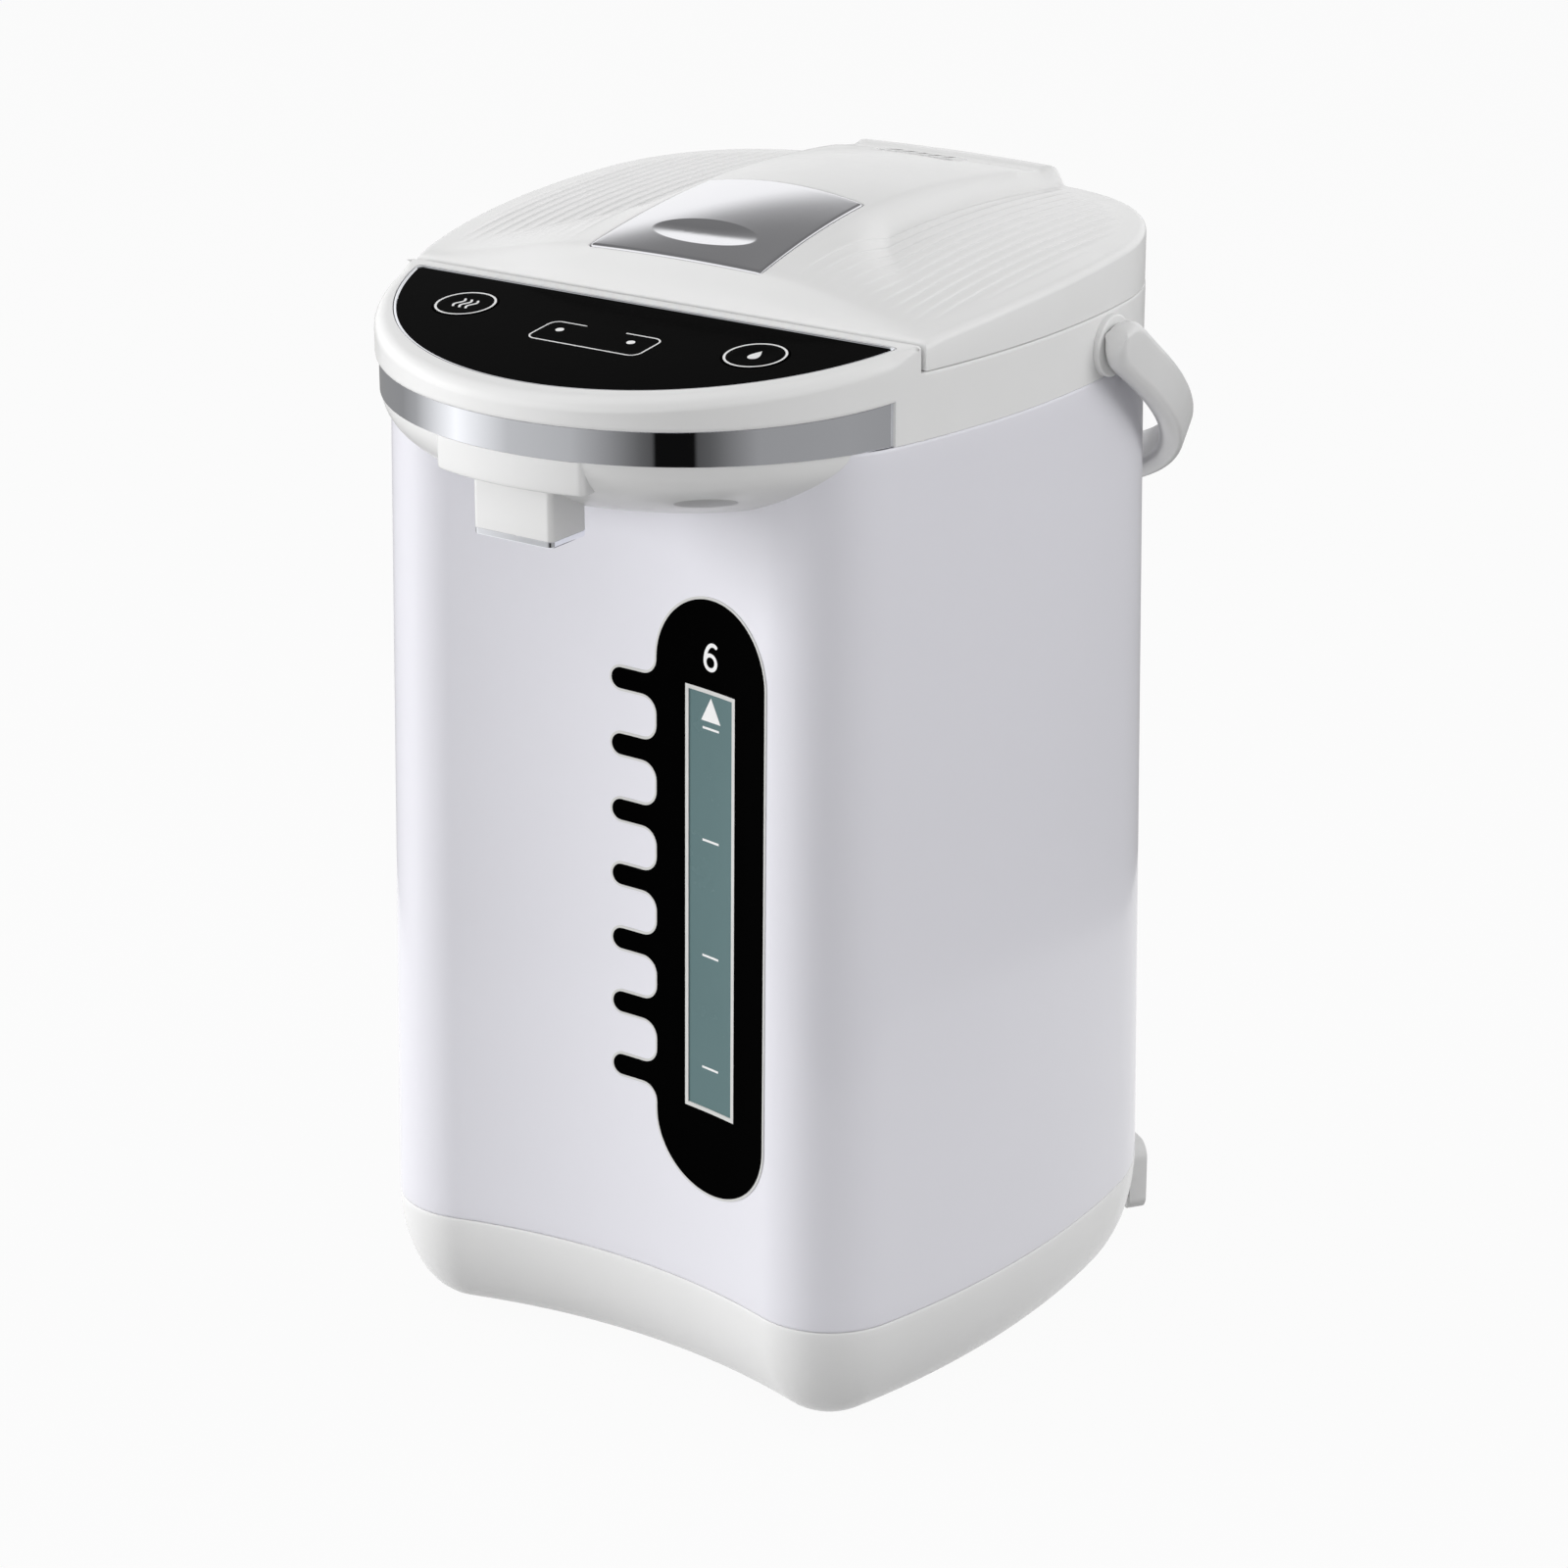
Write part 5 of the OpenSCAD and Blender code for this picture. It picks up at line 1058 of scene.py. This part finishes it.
DROP, ARM_LEN, STRAP_T, STRAP_B, STRAP_EDGE, HEAD_R = math.radians(36.3), 17.5, 8.4, 17.0, 3.7, 8.8
ARM_X = SIDE_X + 1.9 + STRAP_T / 2
# Stations along the strap: place, turn in degrees and breadth
arm = []
for s in np.r_[np.linspace(0.1 - HEAD_R, -6, 6), np.linspace(-4.5, 9, 8), np.linspace(11, ARM_LEN, 4)]:
    if s < 0:
        b = 2 * math.sqrt(max(0.02, HEAD_R ** 2 - s * s))
    else:
        b = 2 * HEAD_R - (2 * HEAD_R - STRAP_B) * float(smooth(np.array(s / ARM_LEN)))
    arm.append((ARM_X, s, 0.0, b))
bend = [(*(ARM_X * unit(a) + (0, ARM_LEN)), a, STRAP_B) for a in np.linspace(0, 180, 73)[1:-1]]
rings = []
for x, y, a, b in arm + bend + [(-x, y, 180.0, b) for x, y, a, b in arm[::-1]]:
    section = rect(-STRAP_T / 2, -b / 2, STRAP_T / 2, b / 2, min(STRAP_EDGE, b / 2 - 0.01), 7)
    rings.append(np.column_stack([(x, y) + section[:, :1] * unit(a), section[:, 1]]))


def hang(p):
    """Turns the handle down about its pivots, to where the photo shows it."""
    x, y, z = p
    return (x, PIVOT_Y + y * math.cos(DROP) + z * math.sin(DROP), PIVOT_Z - y * math.sin(DROP) + z * math.cos(DROP))


piece("bail_handle", skin(rings, ends=True).placed(hang), GRIP, ["handle"], body="handle")


# ---- stage, light and camera


def emptied(tree):
    tree.nodes.clear()
    return Shade(tree)


def stage_plate(name, verts, faces):
    mesh = bpy.data.meshes.new(name)
    mesh.from_pydata(verts, [], faces)
    obj = bpy.data.objects.new(name, mesh)
    bpy.context.scene.collection.objects.link(obj)
    mat = bpy.data.materials.new(name)
    mat.use_nodes = True
    mesh.materials.append(mat)
    return obj, emptied(mat.node_tree)


WHITE_LEVEL = (1, 1, 1, 1)
FLOOR_HALF, FLOOR_SHADE, FLOOR_GLOW = 6.0, (0.36, 0.36, 0.36, 1), 0.95
_, s = stage_plate("floor", at_z(rect(-FLOOR_HALF, -FLOOR_HALF, FLOOR_HALF, FLOOR_HALF), 0.0).tolist(), [(0, 1, 2, 3)])
path = s.node("LightPath")
seen = s.node("Math", path.outputs["Is Camera Ray"], path.outputs["Is Glossy Ray"], operation="MAXIMUM")
share = s.node("Math", seen.outputs[0], FLOOR_GLOW, operation="MULTIPLY")
paper = s.node("BsdfDiffuse", FLOOR_SHADE)
glow = s.node("Emission", WHITE_LEVEL, 1.0)
mix = s.node("MixShader", share.outputs[0], paper.outputs[0], glow.outputs[0])
s.node("OutputMaterial", mix.outputs[0])

# A flat ring of card round the object that only mirrors see: dark toward the camera, bright at the left
CARD_R, CARD_Z, CARD_N, CARD_GLOW = (0.45, 5.5), 0.004, 96, 1.1
CARD_STOPS = [(-180, 0.26), (-169, 0.36), (-145, 1.0), (-121, 0.5), (-97, 0.42), (-73, 0.11), (-68.6, 0.075),
              (-67.8, 0.004), (-54.4, 0.004), (-53.6, 0.07), (-48.5, 0.1), (-33, 0.28), (0, 0.3), (30, 0.27),
              (180, 0.26)]
card_mesh = skin([at_z(circle((0, 0), r, CARD_N), CARD_Z) for r in CARD_R])
card, s = stage_plate("reflection_card", card_mesh.v, card_mesh.f)
card.visible_camera = card.visible_diffuse = card.visible_transmission = card.visible_shadow = False
xyz = s.node("SeparateXYZ", s.node("TexCoord").outputs["Object"])
turn = s.node("Math", xyz.outputs["Y"], xyz.outputs["X"], operation="ARCTAN2")
degrees = s.node("Math", turn.outputs[0], operation="DEGREES")
glow = s.node("Emission", s.ramp(degrees.outputs[0], -180, 180, CARD_STOPS), CARD_GLOW)
s.node("OutputMaterial", glow.outputs[0])

# White to the camera and through glass, a plain dim light on the object, and a darker ceiling in mirrors
ROOM_LIGHT = 0.45
CEILING_STOPS = [(-1.0, 1.0), (0.42, 1.0), (0.47, 0.7), (0.52, 0.38), (0.59, 0.22), (0.74, 0.17), (1.0, 0.2)]
world = bpy.data.worlds.new("studio")
bpy.context.scene.world = world
world.use_nodes = True
s = emptied(world.node_tree)
path = s.node("LightPath")
xyz = s.node("SeparateXYZ", s.node("TexCoord").outputs["Generated"])
room = s.node("Background", WHITE_LEVEL, ROOM_LIGHT)
walls = s.node("Background", s.ramp(xyz.outputs["Z"], -1, 1, CEILING_STOPS), 1.0)
white = s.node("Background", WHITE_LEVEL, 1.0)
seen = s.node("Math", path.outputs["Is Camera Ray"], path.outputs["Is Transmission Ray"], operation="MAXIMUM")
mirror = s.node("MixShader", path.outputs["Is Glossy Ray"], room.outputs[0], walls.outputs[0])
mix = s.node("MixShader", seen.outputs[0], mirror.outputs[0], white.outputs[0])
s.node("OutputWorld", mix.outputs[0])


def softbox(name, place, target, size, watts):
    """A soft lamp that mirrors and gloss don't see, so that pale surfaces don't clip to white in it."""
    lamp = bpy.data.lights.new(name, "AREA")
    lamp.shape = "RECTANGLE"
    lamp.size, lamp.size_y = size
    lamp.energy = watts
    obj = bpy.data.objects.new(name, lamp)
    bpy.context.scene.collection.objects.link(obj)
    obj.location = place
    obj.rotation_euler = (Vector(place) - Vector(target)).to_track_quat("Z", "Y").to_euler()
    obj.visible_glossy = False


softbox("key_left", (-1.78, -1.02, 0.5), (0, 0, 0.2), (0.9, 1.0), 32)
softbox("top", (-0.4, -0.5, 1.8), (0, 0, 0.3), (1.4, 1.4), 6.5)
softbox("fill_front", (0.4, -2.2, 0.45), (0, 0, 0.25), (1.4, 0.6), 12)
softbox("fill_right", (1.6, 0.8, 1.2), (0, 0, 0.3), (1.2, 1.2), 21)

# Camera fitted to the edges of the photo: focal length and optical centre in its pixels, place and backward direction
PHOTO, SENSOR = 1600, 36.0
FOCAL, CX, CY = 4412.17, 803.21, 812.09
CAM_PLACE, CAM_BACK = (803.5, -1162.3, 716.3), (0.532, -0.7695, 0.3535)
cam = bpy.data.cameras.new("camera")
cam.sensor_width = SENSOR
cam.lens = SENSOR * FOCAL / PHOTO
cam.shift_x = (PHOTO / 2 - CX) / PHOTO
cam.shift_y = (CY - PHOTO / 2) / PHOTO
cam.clip_start, cam.clip_end = 0.05, 50
view = bpy.data.objects.new("camera", cam)
bpy.context.scene.collection.objects.link(view)
view.location = to_frame([CAM_PLACE])[0]
view.rotation_mode = "QUATERNION"
view.rotation_quaternion = Vector(CAM_BACK).normalized().to_track_quat("Z", "Y")
bpy.context.scene.camera = view
bpy.context.scene.view_settings.view_transform = "Standard"
